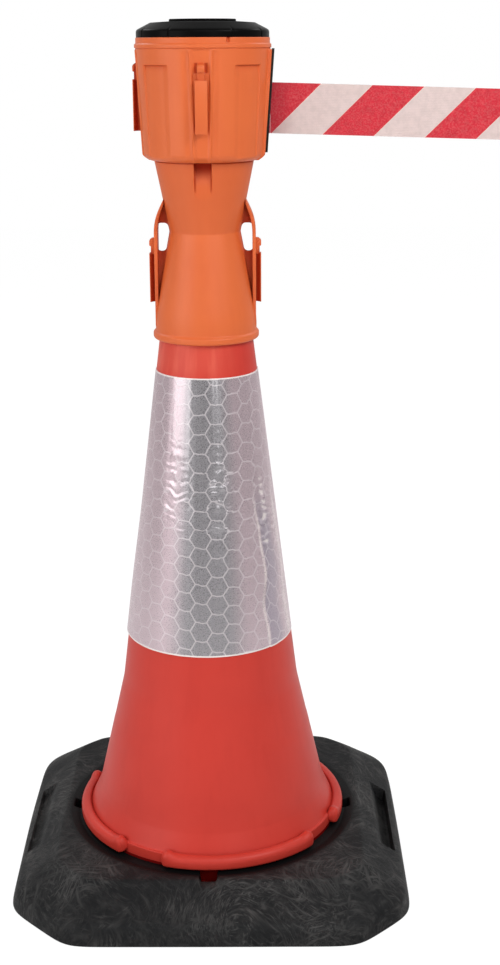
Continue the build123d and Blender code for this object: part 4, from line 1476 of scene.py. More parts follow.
@dataclass
class TopperCollar:
    """Orange collar that slips over the cone, with a flared neck and a bracket on each side."""

    finishes: Finishes
    cone: RedCone
    receiver: Receiver = field(default_factory=Receiver)
    low: float = 596.4
    straight_up: float = 620.0
    skirt: float = 53.02
    bead: float = 2.5
    bead_height: float = 8.0
    waist: float = 36.3
    waist_up: float = 707.0
    grip_up: float = 678.0
    neck: float = 50.8
    neck_up: float = 779.7
    neck_step: float = 2.4
    neck_gap: float = 1.3
    wall: float = 2.6
    fit: float = 0.35
    plate: float = 4.0
    channel_half: float = 8.5
    channel_face: float = 43.6
    channel_dip: float = 4.0
    strip_face: float = 52.52
    strip_thickness: float = 3.6
    strip_low: float = 610.0
    strip_half: float = 12.0
    arm_up: float = 704.0
    arm_top: float = 741.0
    arm_root: float = 5.4
    web: float = 4.0
    window_low: float = 686.5
    window_high: float = 715.5
    window_rim: float = 0.5
    window_round: float = 4.4
    rail_stand: float = 5.5
    rail_low: float = 634.0
    rib_count: int = 8
    steps: int = 480

    def neck_radius(self, up: float) -> float:
        """Give the outer radius of the neck at a height."""
        return self.waist + (self.neck - self.waist) * (up - self.waist_up) / (self.neck_up - self.waist_up)

    def skirt_radius(self, up: float) -> float:
        """Give the outer radius of the tapered skirt at a height."""
        share = (up - self.straight_up) / (self.waist_up - self.straight_up)
        return self.skirt + (self.waist - self.skirt) * share

    def channel(self, point: Vector) -> Vector:
        """Sink the channels at the front and rear of the neck.

        Args:
            point: Point of the blank.

        Returns:
            Its place on the piece.
        """
        out = math.hypot(point.x, point.y)
        across = abs(point.x)
        along = abs(point.y)
        floor = self.channel_face - self.channel_dip * ease(self.neck_up - 26, self.neck_up - 3, point.z)
        if out < self.neck_radius(point.z) - self.wall / 2:
            floor -= self.wall
        if point.z < self.waist_up or along < across or along <= floor:
            return point
        share = ease(self.channel_half + 0.45, self.channel_half - 0.45, across)
        sunk = along + (floor - along) * share
        return Vector((point.x, math.copysign(sunk, point.y), point.z))

    def shade(self, point: Vector) -> float:
        """Give the painted shade of a point: a little over the whole neck, more in the channels of the neck,
        on the webs and behind the rails.

        Args:
            point: Point of the piece.

        Returns:
            0 in the open and up to 1 where little light gets in.
        """
        across = abs(point.x)
        along = abs(point.y)
        up = point.z
        # Painted shade over the whole neck, a little darker than the skirt.
        shade = 0.1 * ease(self.waist_up - 0.3, self.waist_up + 0.8, up) * (up < self.neck_up - self.neck_gap)
        if across < self.channel_half + 0.3 and self.waist_up < up < self.neck_up - self.neck_gap:
            under = ease(self.neck_radius(up) - 0.2, self.neck_radius(up) - 1.0, math.hypot(across, along))
            wall = ease(self.channel_half - 2.2, self.channel_half - 0.6, across)
            shade = max(shade, under * max(0.85 * ease(self.neck_up - 22, self.neck_up - 4, up), 0.6 * wall))
        if along < self.web / 2 + 0.1 and self.arm_top > up > self.strip_low:
            skin = self.skirt_radius(up) if up < self.waist_up else self.neck_radius(up)
            back = self.strip_face - self.strip_thickness
            shade = 0.7 * ease(skin - 0.5, skin + 1.0, across) * ease(back + 0.6, back - 0.4, across)
        rail_high = self.rail_low + self.receiver.rail_length
        if along < self.receiver.rail_half + 0.2 and self.rail_low - 1 < up < rail_high + 1:
            face = self.strip_face + self.rail_stand
            shade = max(shade, 0.8 * ease(self.strip_face + 0.2, self.strip_face + 0.6, across)
                        * ease(face - 0.5, face - 1.2, across))
        return shade

    def bracket(self, piece: Workpiece, turn: float) -> None:
        """Add a bracket with its window and receiver.

        Args:
            piece: Mesh of the collar.
            turn: Angle round the axis that the bracket points to.
        """
        back = self.strip_face - self.strip_thickness
        root = self.neck_radius(self.arm_top) - self.wall / 2
        outer = self.arm((self.strip_face, self.arm_up), (root, self.arm_top))
        inner = self.arm((back, self.arm_up), (root, self.arm_top - self.arm_root))
        piece.slab(
            [(self.strip_face, self.strip_low), *outer, *reversed(inner), (back, self.strip_low)],
            2 * self.strip_half, turn, 1.0,
        )
        middle = self.strip_face - self.strip_thickness / 2
        centre = self.arm((middle, self.arm_up), (root, self.arm_top - self.arm_root / 2))
        foot_up = self.straight_up + (self.skirt - middle - self.wall / 2) / (self.skirt - self.waist) * (
            self.waist_up - self.straight_up
        )
        far = back + self.strip_thickness / 4
        window = [
            Corner(far, self.window_low, self.window_round),
            Corner(far, self.window_high, self.window_round),
            Corner(self.neck_radius(self.window_high) + self.window_rim, self.window_high, self.window_round),
            Corner(self.waist + self.window_rim, self.waist_up, self.window_round),
            Corner(self.skirt_radius(self.window_low) + self.window_rim, self.window_low, self.window_round),
        ]
        opening = [tuple(point) for point, _ in Workpiece.rounded(window, True)]
        piece.slab(
            [(middle, foot_up), *centre, (self.waist - 1.0, self.waist_up)], self.web, turn, 0.5, [opening],
        )
        self.receiver.build(
            piece, turn, self.strip_face + self.rail_stand, self.rail_low, self.strip_face, self.strip_face,
        )

    @staticmethod
    def arm(start: tuple[float, float], end: tuple[float, float]) -> list[tuple[float, float]]:
        """Bend from an upright start in to a point on the neck.

        Args:
            start: First point as (outwards, up).
            end: Last point.

        Returns:
            Points along the bend.
        """
        first = Vector(start)
        last = Vector(end)
        rise = last.y - first.y
        upright = first + Vector((0, rise * 0.46))
        inwards = last + Vector(((first.x - last.x) * 0.6, -rise * 0.36))
        return [tuple(point) for point in geometry.interpolate_bezier(first, upright, inwards, last, 14)]

    def build(self) -> None:
        """Build and dress the collar."""
        piece = Workpiece("topper_collar")
        bore = self.skirt - self.wall
        proud = self.skirt + self.bead
        under = self.neck_up - self.plate
        piece.lathe(
            [
                Corner(0, self.neck_up, 0, 12),
                Corner(self.neck - self.neck_step, self.neck_up, 0, 0.6),
                Corner(self.neck - self.neck_step, self.neck_up - self.neck_gap, 0, 0.8),
                Corner(self.neck, self.neck_up - self.neck_gap, 0.5, 1.6),
                Corner(self.waist, self.waist_up, 1.2, 2.2),
                Corner(self.skirt, self.straight_up, 110.0, 2.2),
                Corner(self.skirt, self.low + self.bead_height + 0.8, 2.0, 1),
                Corner(proud, self.low + self.bead_height - 1.6, 2.6, 1),
                Corner(proud, self.low, 2.6, 2),
                Corner(bore, self.low, 0.6, 20),
                Corner(bore, self.straight_up, 0, 20),
                Corner(self.cone.radius(self.grip_up) + self.fit, self.grip_up, 0, 20),
                Corner(self.cone.radius(self.waist_up) + self.fit, self.waist_up, 0, 20),
                Corner(self.neck_radius(under) - self.wall, under, 0, 20),
                Corner(0, under, 0, 20),
            ],
            self.steps, False,
        )
        piece.mould(self.channel)
        for rib in range(self.rib_count):
            inner_low = self.cone.radius(self.low) + self.fit
            inner_high = self.cone.radius(self.grip_up) + self.fit
            piece.slab(
                [
                    (inner_low, self.low + 0.4),
                    (bore + 1.2, self.low + 0.4),
                    (bore + 1.2, self.straight_up),
                    (inner_high + 1.2, self.grip_up),
                    (inner_high, self.grip_up),
                ],
                2.4, (rib + 0.5) * FULL_TURN / self.rib_count, 0.0,
            )
        self.bracket(piece, Quarter.BELT.value)
        self.bracket(piece, Quarter.LEFT.value)
        piece.paint("shade", self.shade)
        piece.finish(Body.TOPPER, Slot.TOPPER_ORANGE, self.finishes.orange, ["cone_collar"], 34.0)


@dataclass
class TopperHead:
    """Orange tapered drum with receivers on three sides and a flat face where the belt leaves."""

    finishes: Finishes
    receiver: Receiver = field(default_factory=Receiver)
    low: float = 779.7
    top: float = 898.6
    foot: float = 55.0
    wide: float = 62.4
    wide_up: float = 786.0
    broad: float = 67.6
    rim_low: float = 888.0
    rim: float = 67.2
    rim_bead: float = 1.4
    rim_groove: float = 0.8
    wall: float = 2.8
    floor: float = 3.5
    ridge: float = 1.9
    ridge_height: float = 1.3
    face_top: float = 22.8
    face_foot: float = 16.6
    exit_width: float = 34.0
    exit_proud: float = 1.6
    exit_lean: float = 1.8
    panel_half: float = 14.5
    panel_depth: float = 1.3
    panel_undercut: float = 1.2
    panel_top: float = 873.0
    rail_low: float = 808.2
    rail_face: float = 70.9
    notch_angle: float = -66.5
    notch_half: float = 1.3
    notch_height: float = 4.3
    notch_depth: float = 2.0
    valley: float = 1.1
    valley_off: float = 3.2
    slit_near: float = 3.4
    slit_far: float = 7.2
    slit_depth: float = 1.2
    slot_half: float = 1.9
    slot_low: float = 802.7
    slot_high: float = 857.7
    steps: int = 416

    def radius(self, up: float) -> float:
        """Give the outer radius of the drum at a height."""
        return self.wide + (self.broad - self.wide) * (up - self.wide_up) / (self.rim_low - self.wide_up)

    def face(self, up: float, side: Quarter = Quarter.FRONT) -> float:
        """Give the distance from the axis to a flat face.

        Args:
            up: Height.
            side: Side that the face is on.

        Returns:
            The distance.
        """
        held = max(up, self.wide_up)
        reach = self.radius(held)
        if side is Quarter.BELT:
            reach += self.exit_proud - self.exit_lean * (self.rim_low - held) / (self.rim_low - self.wide_up)
        share = (held - up) / (self.wide_up - self.low)
        return reach + (self.foot + 0.5 - reach) * share ** 1.6

    def raised(self, out: float, angle: float, up: float, side: Quarter) -> float:
        """Raise the flat face of one side.

        Args:
            out: Radius of the point.
            angle: Its angle round the axis in degrees.
            up: Its height.
            side: Side whose face is raised.

        Returns:
            The new radius.
        """
        off = math.radians(apart(angle, side.value))
        if abs(off) > 0.6:
            return out
        across = abs(out * math.sin(off))
        share = (up - self.low) / (self.rim_low - self.low)
        belt = side is Quarter.BELT
        half = (self.exit_width if belt else self.face_foot + (self.face_top - self.face_foot) * share) / 2
        inside = ease(half + 1.0, half - 0.2, across) * ease(self.rim_low + 0.2, self.rim_low - 1.4, up)
        face = self.face(up, side)
        if not belt:
            face -= self.ridge_height * ease(half - self.ridge + 0.4, half - self.ridge - 0.8, across)
            nub_low = self.rail_low + self.receiver.rail_length + self.receiver.nub_gap
            slit = ease(self.slit_near, self.slit_near + 0.6, across)
            slit *= ease(self.slit_far, self.slit_far - 0.8, across)
            slit *= ease(nub_low - 1.4, nub_low - 0.2, up) * ease(nub_low + 9.6, nub_low + 8.2, up)
            face -= self.slit_depth * slit
        target = face / math.cos(off)
        valley = self.valley * bell(half + self.valley_off, self.valley_off, across) * (1 - inside)
        valley *= ease(self.rim_low, self.rim_low - 6, up)
        return out + (target - out) * inside - (0 if belt else valley)

    def sunk(self, out: float, angle: float, up: float) -> float:
        """Sink the four panels between the raised faces.

        Args:
            out: Radius of the point.
            angle: Its angle round the axis in degrees.
            up: Its height.

        Returns:
            The new radius.
        """
        for panel in range(4):
            centre = 45.0 + 90.0 * panel
            off = apart(angle, centre)
            towards_front = -1 if panel in (1, 3) else 1
            lean = off * towards_front
            share = ease(-self.panel_half - 0.5, -self.panel_half + 0.9, lean)
            share *= ease(self.panel_half + 2.5, self.panel_half - 5.0, lean)
            share *= ease(self.panel_top + 0.2, self.panel_top - 0.9, up)
            if share > 0:
                deep = self.panel_depth + self.panel_undercut * math.exp((up - self.panel_top) / 8.0)
                out = min(out, self.radius(up) - deep * share)
        return out

    def shape(self, point: Vector) -> Vector:
        """Move a point of the turned blank to its place on the head.

        Args:
            point: Point of the blank.

        Returns:
            Its place on the piece.
        """
        out, angle = polar(point)
        up = point.z
        if up > self.top - 0.2 or out < self.foot - 0.2:
            return point
        if out < self.radius(up) - self.wall / 2 and up > self.wide_up:
            return point
        if self.low + self.floor - 0.5 < up < self.wide_up and out < self.wide - self.wall:
            share = (up - self.low) / (self.wide_up - self.low)
            if out < self.foot + (self.wide - self.foot) * math.sqrt(share) - 1.2:
                return point
        new = self.sunk(out, angle, up)
        for side in Quarter:
            new = self.raised(new, angle, up, side)
        across = abs(out * math.sin(math.radians(apart(angle, self.notch_angle))))
        if across < 6 and abs(apart(angle, self.notch_angle)) < 20:
            cut = ease(self.notch_half + 0.3, self.notch_half - 0.3, across)
            low = self.top - self.notch_height
            new -= self.notch_depth * cut * ease(low - 0.5, low + 0.3, up)
        return spread_out(point, new / out, up)

    def shade(self, point: Vector) -> float:
        """Give the painted shade of a point: under the panels' upper edges, in the notch, in the slits beside
        the nubs and on the sides of the rails and nubs.

        Args:
            point: Point of the piece.

        Returns:
            0 in the open and up to 1 where little light gets in.
        """
        out, angle = polar(point)
        up = point.z
        if out < self.radius(up) - self.wall + 0.1 or up < self.wide_up:
            return 0.0
        shade = 0.0
        panel = min(abs(apart(angle, 45.0 + 90.0 * quarter)) for quarter in range(4))
        if panel < self.panel_half + 0.5 and up < self.panel_top + 0.2 and out < self.radius(up) - 0.4:
            shade = 0.75 * math.exp((up - self.panel_top) / 1.8)
        across = abs(out * math.sin(math.radians(apart(angle, self.notch_angle))))
        if across < self.notch_half + 0.4 and abs(apart(angle, self.notch_angle)) < 20:
            low = self.top - self.notch_height
            shade = max(shade, ease(low - 0.3, low + 0.3, up))
        far, near = max(abs(point.x), abs(point.y)), min(abs(point.x), abs(point.y))
        if near > self.receiver.rail_half + 1.2 or point.x > self.wide:
            return shade
        rail_high = self.rail_low + self.receiver.rail_length
        nub_low = rail_high + self.receiver.nub_gap
        nub_high = nub_low + self.receiver.nub_height
        # Painted shade on the sides of the receivers: strong on the left receiver, which the lamps light
        # less, weak on the others.
        side_shade = 0.9 if point.x < -self.wide else 0.25
        on_rail = self.rail_low - 1 < up < rail_high + 0.6
        on_nub = nub_low - 1 < up < nub_high + 0.5 and near > self.receiver.nub_half - 0.6
        if (on_rail or on_nub) and self.face(up) + 0.3 < far:
            shade = max(shade, side_shade * ease(self.rail_face - 0.5, self.rail_face - 1.2, far))
        if nub_low - 1 < up < nub_high + 1 and far < self.face(up) - self.ridge_height - 0.3:
            shade = max(shade, 0.6)
        return shade

    def slot(self, piece: Workpiece) -> None:
        """Open the wall where the belt leaves.

        Args:
            piece: Mesh of the head.
        """
        middles = {face: face.calc_center_median() for face in piece.bm.faces}
        gone = [
            face for face, middle in middles.items()
            if middle.x > self.wide - self.wall - 3 and abs(middle.y) < self.slot_half
            and self.slot_low < middle.z < self.slot_high
        ]
        bmesh.ops.delete(piece.bm, geom=gone, context="FACES")
        rims = [edge for edge in piece.bm.edges if edge.is_boundary]
        bmesh.ops.bridge_loops(piece.bm, edges=rims)

    def build(self) -> None:
        """Build and dress the head."""
        piece = Workpiece("topper_head")
        bore = self.radius(self.rim_low) - self.wall
        bead = self.rim + self.rim_bead
        piece.lathe(
            [
                Corner(0, self.low, 0, 30),
                Corner(self.foot, self.low, 0.8, 0.8),
                Corner(self.wide - 2.8, self.low + 2.2, 4.0, 0.8),
                Corner(self.wide - 0.2, self.wide_up, 7.0, 1.05),
                Corner(self.broad, self.rim_low, 0.5, 0.4),
                Corner(self.broad - self.rim_groove, self.rim_low + self.rim_groove / 2, 0.3, 0.4),
                Corner(bead, self.rim_low + self.rim_groove, 0.5, 0.8),
                Corner(bead, self.top - 6.6, 0.7, 0.6),
                Corner(self.rim, self.top - 5.3, 0.6, 0.8),
                Corner(self.rim, self.top, 0.7, 1.2),
                Corner(bore, self.top, 0.5, 5),
                Corner(bore, self.rim_low, 0, 6),
                Corner(self.wide - self.wall, self.wide_up, 0, 10),
                Corner(self.wide - 2 * self.wall - 1, self.low + self.floor, 1, 20),
                Corner(0, self.low + self.floor, 0, 30),
            ],
            self.steps, False,
        )
        piece.mould(self.shape)
        self.slot(piece)
        root_low = self.face(self.rail_low) - self.ridge_height
        root_high = self.face(self.rail_low + self.receiver.rail_length) - self.ridge_height
        for side in (Quarter.FRONT, Quarter.LEFT, Quarter.REAR):
            self.receiver.build(piece, side.value, self.rail_face, self.rail_low, root_low, root_high)
        piece.paint("shade", self.shade)
        piece.finish(Body.TOPPER, Slot.TOPPER_ORANGE, self.finishes.orange, ["head_shell"], 40.0)


@dataclass
class ExitPlate:
    """Black plate with the slot that the belt comes out of."""

    finishes: Finishes
    head: TopperHead
    low: float = 787.0
    high: float = 888.0
    half: float = 15.0
    thickness: float = 2.4
    corner: float = 2.0
    slot_half: float = 1.7
    screw: float = 3.0
    screw_ups: tuple[float, float] = (795.0, 878.5)
    screw_sunk: float = 0.4
    screw_head: float = 2.8
    screw_side: float = 1.2
    screw_dome: float = 2.1
    screw_top: float = 1.9
    socket: float = 1.1
    socket_floor: float = 0.6
    shank: float = 1.7
    shank_length: float = 6.0
    edge: float = 0.5

    def lean(self, point: Vector) -> Vector:
        """Lay the flat plate against the tapered face."""
        return Vector((self.head.face(point.z, Quarter.BELT) + point.x, point.y, point.z))

    def build(self) -> None:
        """Build and dress the plate."""
        piece = Workpiece("belt_exit_plate")
        outline = [
            Corner(-self.half, self.low, self.corner), Corner(self.half, self.low, self.corner),
            Corner(self.half, self.high, self.corner), Corner(-self.half, self.high, self.corner),
        ]
        half = self.slot_half
        slot = [
            Corner(-half, self.head.slot_low, half * 0.9), Corner(half, self.head.slot_low, half * 0.9),
            Corner(half, self.head.slot_high, half * 0.9), Corner(-half, self.head.slot_high, half * 0.9),
        ]
        loops = [[tuple(point) for point, _ in Workpiece.rounded(shape, True)] for shape in (outline, slot)]
        for up in self.screw_ups:
            hole = [sideways(turn * 15.0) @ Vector((self.screw, 0, 0)) for turn in range(24)]
            loops.append([(point.x, up + point.y) for point in hole])
        piece.slab(loops[0], self.thickness, 90.0, self.edge, loops[1:])
        piece.mould(lambda point: Vector((self.thickness / 2 - point.x, -point.y, point.z)))
        piece.settle()
        piece.mould(self.lean)
        self.screws()
        piece.finish(Body.TOPPER, Slot.TRIM_BLACK, self.finishes.trim, ["exit_plate"])

    def screws(self) -> None:
        """Build and dress the plate's two screws."""
        piece = Workpiece("belt_exit_plate_screws")
        piece.lathe(
            [
                Corner(0, self.socket_floor, 0, 2), Corner(self.socket, self.socket_floor, 0, 2),
                Corner(self.socket, self.screw_top, 0.2, 2), Corner(self.screw_dome, self.screw_top, 0.8, 2),
                Corner(self.screw_head, self.screw_side, 0.4, 2), Corner(self.screw_head, 0.0, 0, 2),
                Corner(self.shank, 0.0, 0, 4), Corner(self.shank, -self.shank_length, 0.3, 4),
                Corner(0, -self.shank_length, 0, 4),
            ],
            32, False,
        )
        low, high = [
            Vector((self.head.face(up, Quarter.BELT) + self.screw_sunk, 0, up)) for up in self.screw_ups
        ]
        piece.mould(lambda point: low + Vector((point.z, point.y, -point.x)))
        copy = bmesh.ops.duplicate(piece.bm, geom=list(piece.bm.faces))["geom"]
        bmesh.ops.translate(piece.bm, vec=high - low, verts=points_in(copy))
        piece.finish(Body.TOPPER, Slot.STEEL, self.finishes.steel, ["exit_plate_screws"], 34.0)


@dataclass
class Lid:
    """Black cap with a sloped shoulder and a plain raised disc."""

    finishes: Finishes
    low: float = 898.6
    radius: float = 66.5
    side: float = 7.1
    round: float = 3.6
    shoulder: float = 52.2
    shoulder_up: float = 912.8
    top: float = 914.0
    plug: float = 64.4
    plug_wall: float = 2.5
    plug_depth: float = 8.0
    wall: float = 2.8
    disc: float = 33.4
    disc_fit: float = 0.2
    disc_seat: float = 1.4
    disc_proud: float = 2.2
    mark_angle: float = 28.0
    mark_half: float = 0.6
    mark_depth: float = 0.8
    steps: int = 480

    def groove(self, point: Vector) -> Vector:
        """Cut the upright marks round the side.

        Args:
            point: Point of the blank.

        Returns:
            Its place on the piece.
        """
        out, angle = polar(point)
        if out < self.radius - 2.5 or point.z > self.low + self.side + 1.5:
            return point
        depth = 0.0
        for quarter in range(4):
            for lean in (-self.mark_angle, self.mark_angle):
                off = abs(apart(angle, quarter * 90.0 + lean))
                across = out * math.radians(off)
                depth = max(depth, ease(self.mark_half + 0.5, self.mark_half - 0.2, across))
        return spread_out(point, 1 - self.mark_depth * depth / out, point.z)

    def build(self) -> None:
        """Build and dress the cap and its disc."""
        cap = Workpiece("lid_shell")
        seat = self.top - self.disc_seat
        cap.lathe(
            [
                Corner(0, seat, 0, 20),
                Corner(self.disc + self.disc_fit, seat, 0, 2),
                Corner(self.disc + self.disc_fit, self.top, 0.3, 6),
                Corner(self.shoulder, self.shoulder_up, 3.0, 4),
                Corner(self.radius, self.low + self.side, self.round, 0.9),
                Corner(self.radius, self.low, 0.4, 3),
                Corner(self.plug, self.low, 0, 4),
                Corner(self.plug, self.low - self.plug_depth, 0.6, 4),
                Corner(self.plug - self.plug_wall, self.low - self.plug_depth, 0.6, 6),
                Corner(self.plug - self.plug_wall, self.low, 0, 10),
                Corner(self.shoulder, seat - self.wall, 0, 20),
                Corner(0, seat - self.wall, 0, 20),
            ],
            self.steps, False,
        )
        cap.mould(self.groove)
        disc = Workpiece("lid_disc_cap")
        disc.lathe(
            [
                Corner(0, self.top + self.disc_proud, 0, 8),
                Corner(self.disc, self.top + self.disc_proud, 0.8, 1.5),
                Corner(self.disc, seat + 0.02, 0.3, 10),
                Corner(0, seat + 0.02, 0, 20),
            ],
            160, False,
        )
        cap.finish(Body.LID, Slot.LID_BLACK, self.finishes.lid, ["lid_cap"], 34.0)
        disc.finish(Body.LID, Slot.LID_BLACK, self.finishes.lid, ["lid_disc"], 34.0)


@dataclass
class Belt:
    """Striped belt from the exit slot to the fitting at its end."""

    finishes: Finishes
    start: Vector = field(default_factory=lambda: Vector((67.45, 0, 830.2)))
    end: Vector = field(default_factory=lambda: Vector((369.95, 0, 820.694)))
    pin_out: float = 375.45
    pin_up: float = 820.52
    width: float = 50.0
    thickness: float = 0.9
    hem: float = 2.75
    travel: float = 298.0
    held_run: float = 30.0
    ripple: float = 0.55
    curl: float = 0.35
    cuts_across: int = 15

    def route(self) -> list[Vector]:
        """Read the belt's line from its smooth curve.

        Returns:
            Points along the belt in millimetres.
        """
        curve = bpy.data.curves.new("belt_line", "CURVE")
        curve.dimensions = "3D"
        spline = curve.splines.new("NURBS")
        shares = (0.0, 0.3, 0.6, 1.0)
        spline.points.add(len(shares) - 1)
        for point, share in zip(spline.points, shares):
            point.co = (*self.start.lerp(self.end, share), 1.0)
        spline.order_u = 3
        spline.use_endpoint_u = True
        spline.resolution_u = 48
        holder = bpy.data.objects.new("belt_line", curve)
        line = bpy.data.meshes.new_from_object(holder)
        points = [vert.co.copy() for vert in line.vertices]
        bpy.data.objects.remove(holder)
        bpy.data.curves.remove(curve)
        bpy.data.meshes.remove(line)
        return points

    def cup(self, point: Vector) -> Vector:
        """Let the webbing ripple a little and curl along its edges.

        Args:
            point: Point of the blank.

        Returns:
            Its place on the piece.
        """
        along = point.x - self.start.x
        held = ease(0.0, self.held_run, along) * ease(0.0, self.held_run, self.end.x - point.x)
        middle = self.start.z + (self.end.z - self.start.z) * along / (self.end.x - self.start.x)
        across = (point.z - middle) / (self.width / 2)
        ripple = self.ripple * noise.noise(Vector((along * 0.016, across * 0.5, 4.0)))
        return Vector((point.x, point.y + held * (ripple + self.curl * across * across - 0.2), point.z))

    def build(self, fitting: Sequence[bpy.types.Object]) -> None:
        """Args:
            fitting: Pieces at the belt's end; not used.
        """
        points = self.route()
        piece = Workpiece("striped_belt")
        bottom = points[0] - Vector((0, 0, self.width / 2))
        edge = piece.chain([bottom, bottom + Vector((0, 0, self.width))], False)[0]
        bmesh.ops.subdivide_edges(piece.bm, edges=[edge], cuts=self.cuts_across)
        front = list(piece.bm.edges)
        for here, there in zip(points, points[1:]):
            grown = bmesh.ops.extrude_edge_only(piece.bm, edges=front)["geom"]
            front = [item for item in grown if isinstance(item, bmesh.types.BMEdge)]
            bmesh.ops.translate(piece.bm, vec=there - here, verts=points_in(grown))
        piece.mould(self.cup)
        bmesh.ops.recalc_face_normals(piece.bm, faces=piece.bm.faces)
        bmesh.ops.solidify(piece.bm, geom=list(piece.bm.faces), thickness=self.thickness)
        lowest = min(vert.co.y for vert in piece.bm.verts)
        highest = max(vert.co.y for vert in piece.bm.verts)
        bmesh.ops.translate(piece.bm, vec=(0, -(lowest + highest) / 2, 0), verts=piece.bm.verts)
        self.spread(piece)
        belt = piece.finish(Body.TOPPER, Slot.BELT_WEBBING, self.finishes.belt, ["belt_strap"])
        self.loop()
        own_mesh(belt)

    def loop(self) -> bpy.types.Object:
        """Build and dress the hem that runs round the end pin.

        Returns:
            The hem's object.
        """
        piece = Workpiece("belt_hem")
        low = self.pin_up - self.width / 2
        high = low + self.width
        inner = self.hem - self.thickness
        spots = ((self.hem, low), (self.hem, high), (inner, high), (inner, low))
        edges = piece.chain([Vector((out, 0, up)) for out, up in spots], True)
        bmesh.ops.spin(
            piece.bm, geom=list(piece.bm.verts) + edges, cent=(0, 0, 0), axis=(0, 0, 1),
            angle=2 * math.pi, steps=28, use_merge=True,
        )
        bmesh.ops.translate(piece.bm, vec=(self.pin_out, 0, 0), verts=piece.bm.verts)
        bmesh.ops.recalc_face_normals(piece.bm, faces=piece.bm.faces)
        self.spread(piece)
        return piece.finish(Body.BELT_END, Slot.BELT_WEBBING, self.finishes.belt)

    def spread(self, piece: Workpiece) -> None:
        """Lay the belt flat in a UV map, along and across.

        Args:
            piece: Mesh of the belt.
        """
        layer = piece.bm.loops.layers.uv.new("belt")
        slope = (self.end.z - self.start.z) / (self.end.x - self.start.x)
        for face in piece.bm.faces:
            for loop in face.loops:
                point = loop.vert.co
                along = point.x - self.start.x
                across = point.z - (self.start.z - self.width / 2 + slope * along)
                loop[layer].uv = (along * MM, across * MM)


@dataclass
class BeltEnd:
    """Fitting at the belt's end, with the channel that slides onto a rail."""

    finishes: Finishes
    back: float = 368.95
    front: float = 386.45
    half: float = 11.0
    low: float = 792.0
    high: float = 849.0
    channel_high: float = 843.0
    lip: float = 2.6
    channel: float = 3.2
    channel_half: float = 7.25
    mouth_half: float = 3.75
    edge: float = 2.0
    slot_half: float = 1.6
    slot: float = 2.5

    def section(self, inner: Sequence[Corner]) -> list[Corner]:
        """Give the outline round the belt's slot and the corners of one half of the channel.

        Args:
            inner: Corners of the channel's half, from its mouth inwards.

        Returns:
            The closed outline.
        """
        return mirrored([
            Corner(self.back + self.slot, -self.slot_half), Corner(self.back, -self.slot_half),
            Corner(self.back, -self.half, self.edge), Corner(self.front, -self.half, self.edge),
            Corner(self.front, -self.mouth_half, 0.5), *inner,
        ])

    def build(self) -> bpy.types.Object:
        """Build and dress the fitting.

        Returns:
            The fitting's object.
        """
        piece = Workpiece("belt_end_fitting")
        lip = self.front - self.lip
        floor = lip - self.channel
        open_half = [
            Corner(lip, -self.mouth_half, 0.4), Corner(lip, -self.channel_half, 0.3),
            Corner(floor, -self.channel_half, 0.3),
        ]
        shut_half = [Corner(lip - 0.6, -self.mouth_half, 0.4)]
        piece.prism(self.section(open_half), self.low, self.channel_high, Quarter.BELT.value, 0.4)
        piece.prism(self.section(shut_half), self.channel_high, self.high, Quarter.BELT.value, 1.2)
        return piece.finish(Body.BELT_END, Slot.TRIM_BLACK, self.finishes.trim, ["belt_end_clip"])


@dataclass
class BeltStore:
    """Length of belt on the spool and the stretch from there to the exit."""

    finishes: Finishes
    low: float = 805.2
    width: float = 50.0
    thickness: float = 0.8
    hub: float = 21.0
    outside: float = 35.4
    turns: int = 16
    steps: int = 60
    leave: float = -39.2
    start: tuple[float, float] = (28.74, -23.46)
    bend: tuple[float, float] = (47.9, 0.0)
    exit: float = 67.3
    bend_round: float = 3.1

    def strip(self, name: str, line: Sequence[Vector], last: float) -> Workpiece:
        """Raise a line into webbing that is mapped along and across.

        Args:
            name: Name of the piece.
            line: Points of the line as (x, y).
            last: Place of its end along the belt.

        Returns:
            The strip.
        """
        piece = Workpiece(name)
        along = piece.bm.verts.layers.float.new("along")
        edges = piece.chain([Vector((point[0], point[1], self.low)) for point in line], False)
        piece.bm.verts.ensure_lookup_table()
        place = last - sum(edge.calc_length() for edge in edges)
        piece.bm.verts[0][along] = place
        for edge in edges:
            place += edge.calc_length()
            edge.verts[1][along] = place
        grown = bmesh.ops.extrude_edge_only(piece.bm, edges=edges)["geom"]
        bmesh.ops.translate(piece.bm, vec=(0, 0, self.width), verts=points_in(grown))
        bmesh.ops.recalc_face_normals(piece.bm, faces=piece.bm.faces)
        bmesh.ops.solidify(piece.bm, geom=list(piece.bm.faces), thickness=self.thickness)
        layer = piece.bm.loops.layers.uv.new("belt")
        along = piece.bm.verts.layers.float["along"]
        for face in piece.bm.faces:
            for loop in face.loops:
                loop[layer].uv = (loop.vert[along] * MM, (loop.vert.co.z - self.low) * MM)
        return piece

    def build(self) -> None:
        """Build and dress the winding and the lead."""
        total = self.turns * self.steps
        spiral = [
            sideways(self.leave + (step - total) * FULL_TURN / self.steps)
            @ Vector((self.hub + (self.outside - self.hub) * step / total, 0, 0))
            for step in range(total + 1)
        ]
        route = [Corner(*self.start), Corner(*self.bend, self.bend_round), Corner(self.exit, 0)]
        line = [point for point, _ in Workpiece.rounded(route, False)]
        length = sum((there - here).length for here, there in zip(line, line[1:]))
        winding = self.strip("belt_roll", spiral, -length)
        lead = self.strip("belt_lead_in", line, 0.0)
        ends = [vert.co.y for vert in lead.bm.verts if vert.co.x > self.exit - 1]
        bmesh.ops.translate(lead.bm, vec=(0, -(min(ends) + max(ends)) / 2, 0), verts=lead.bm.verts)
        winding.finish(Body.SPOOL, Slot.BELT_WEBBING, self.finishes.belt, ["belt_winding"])
        lead.finish(Body.TOPPER, Slot.BELT_WEBBING, self.finishes.belt, ["belt_lead"])


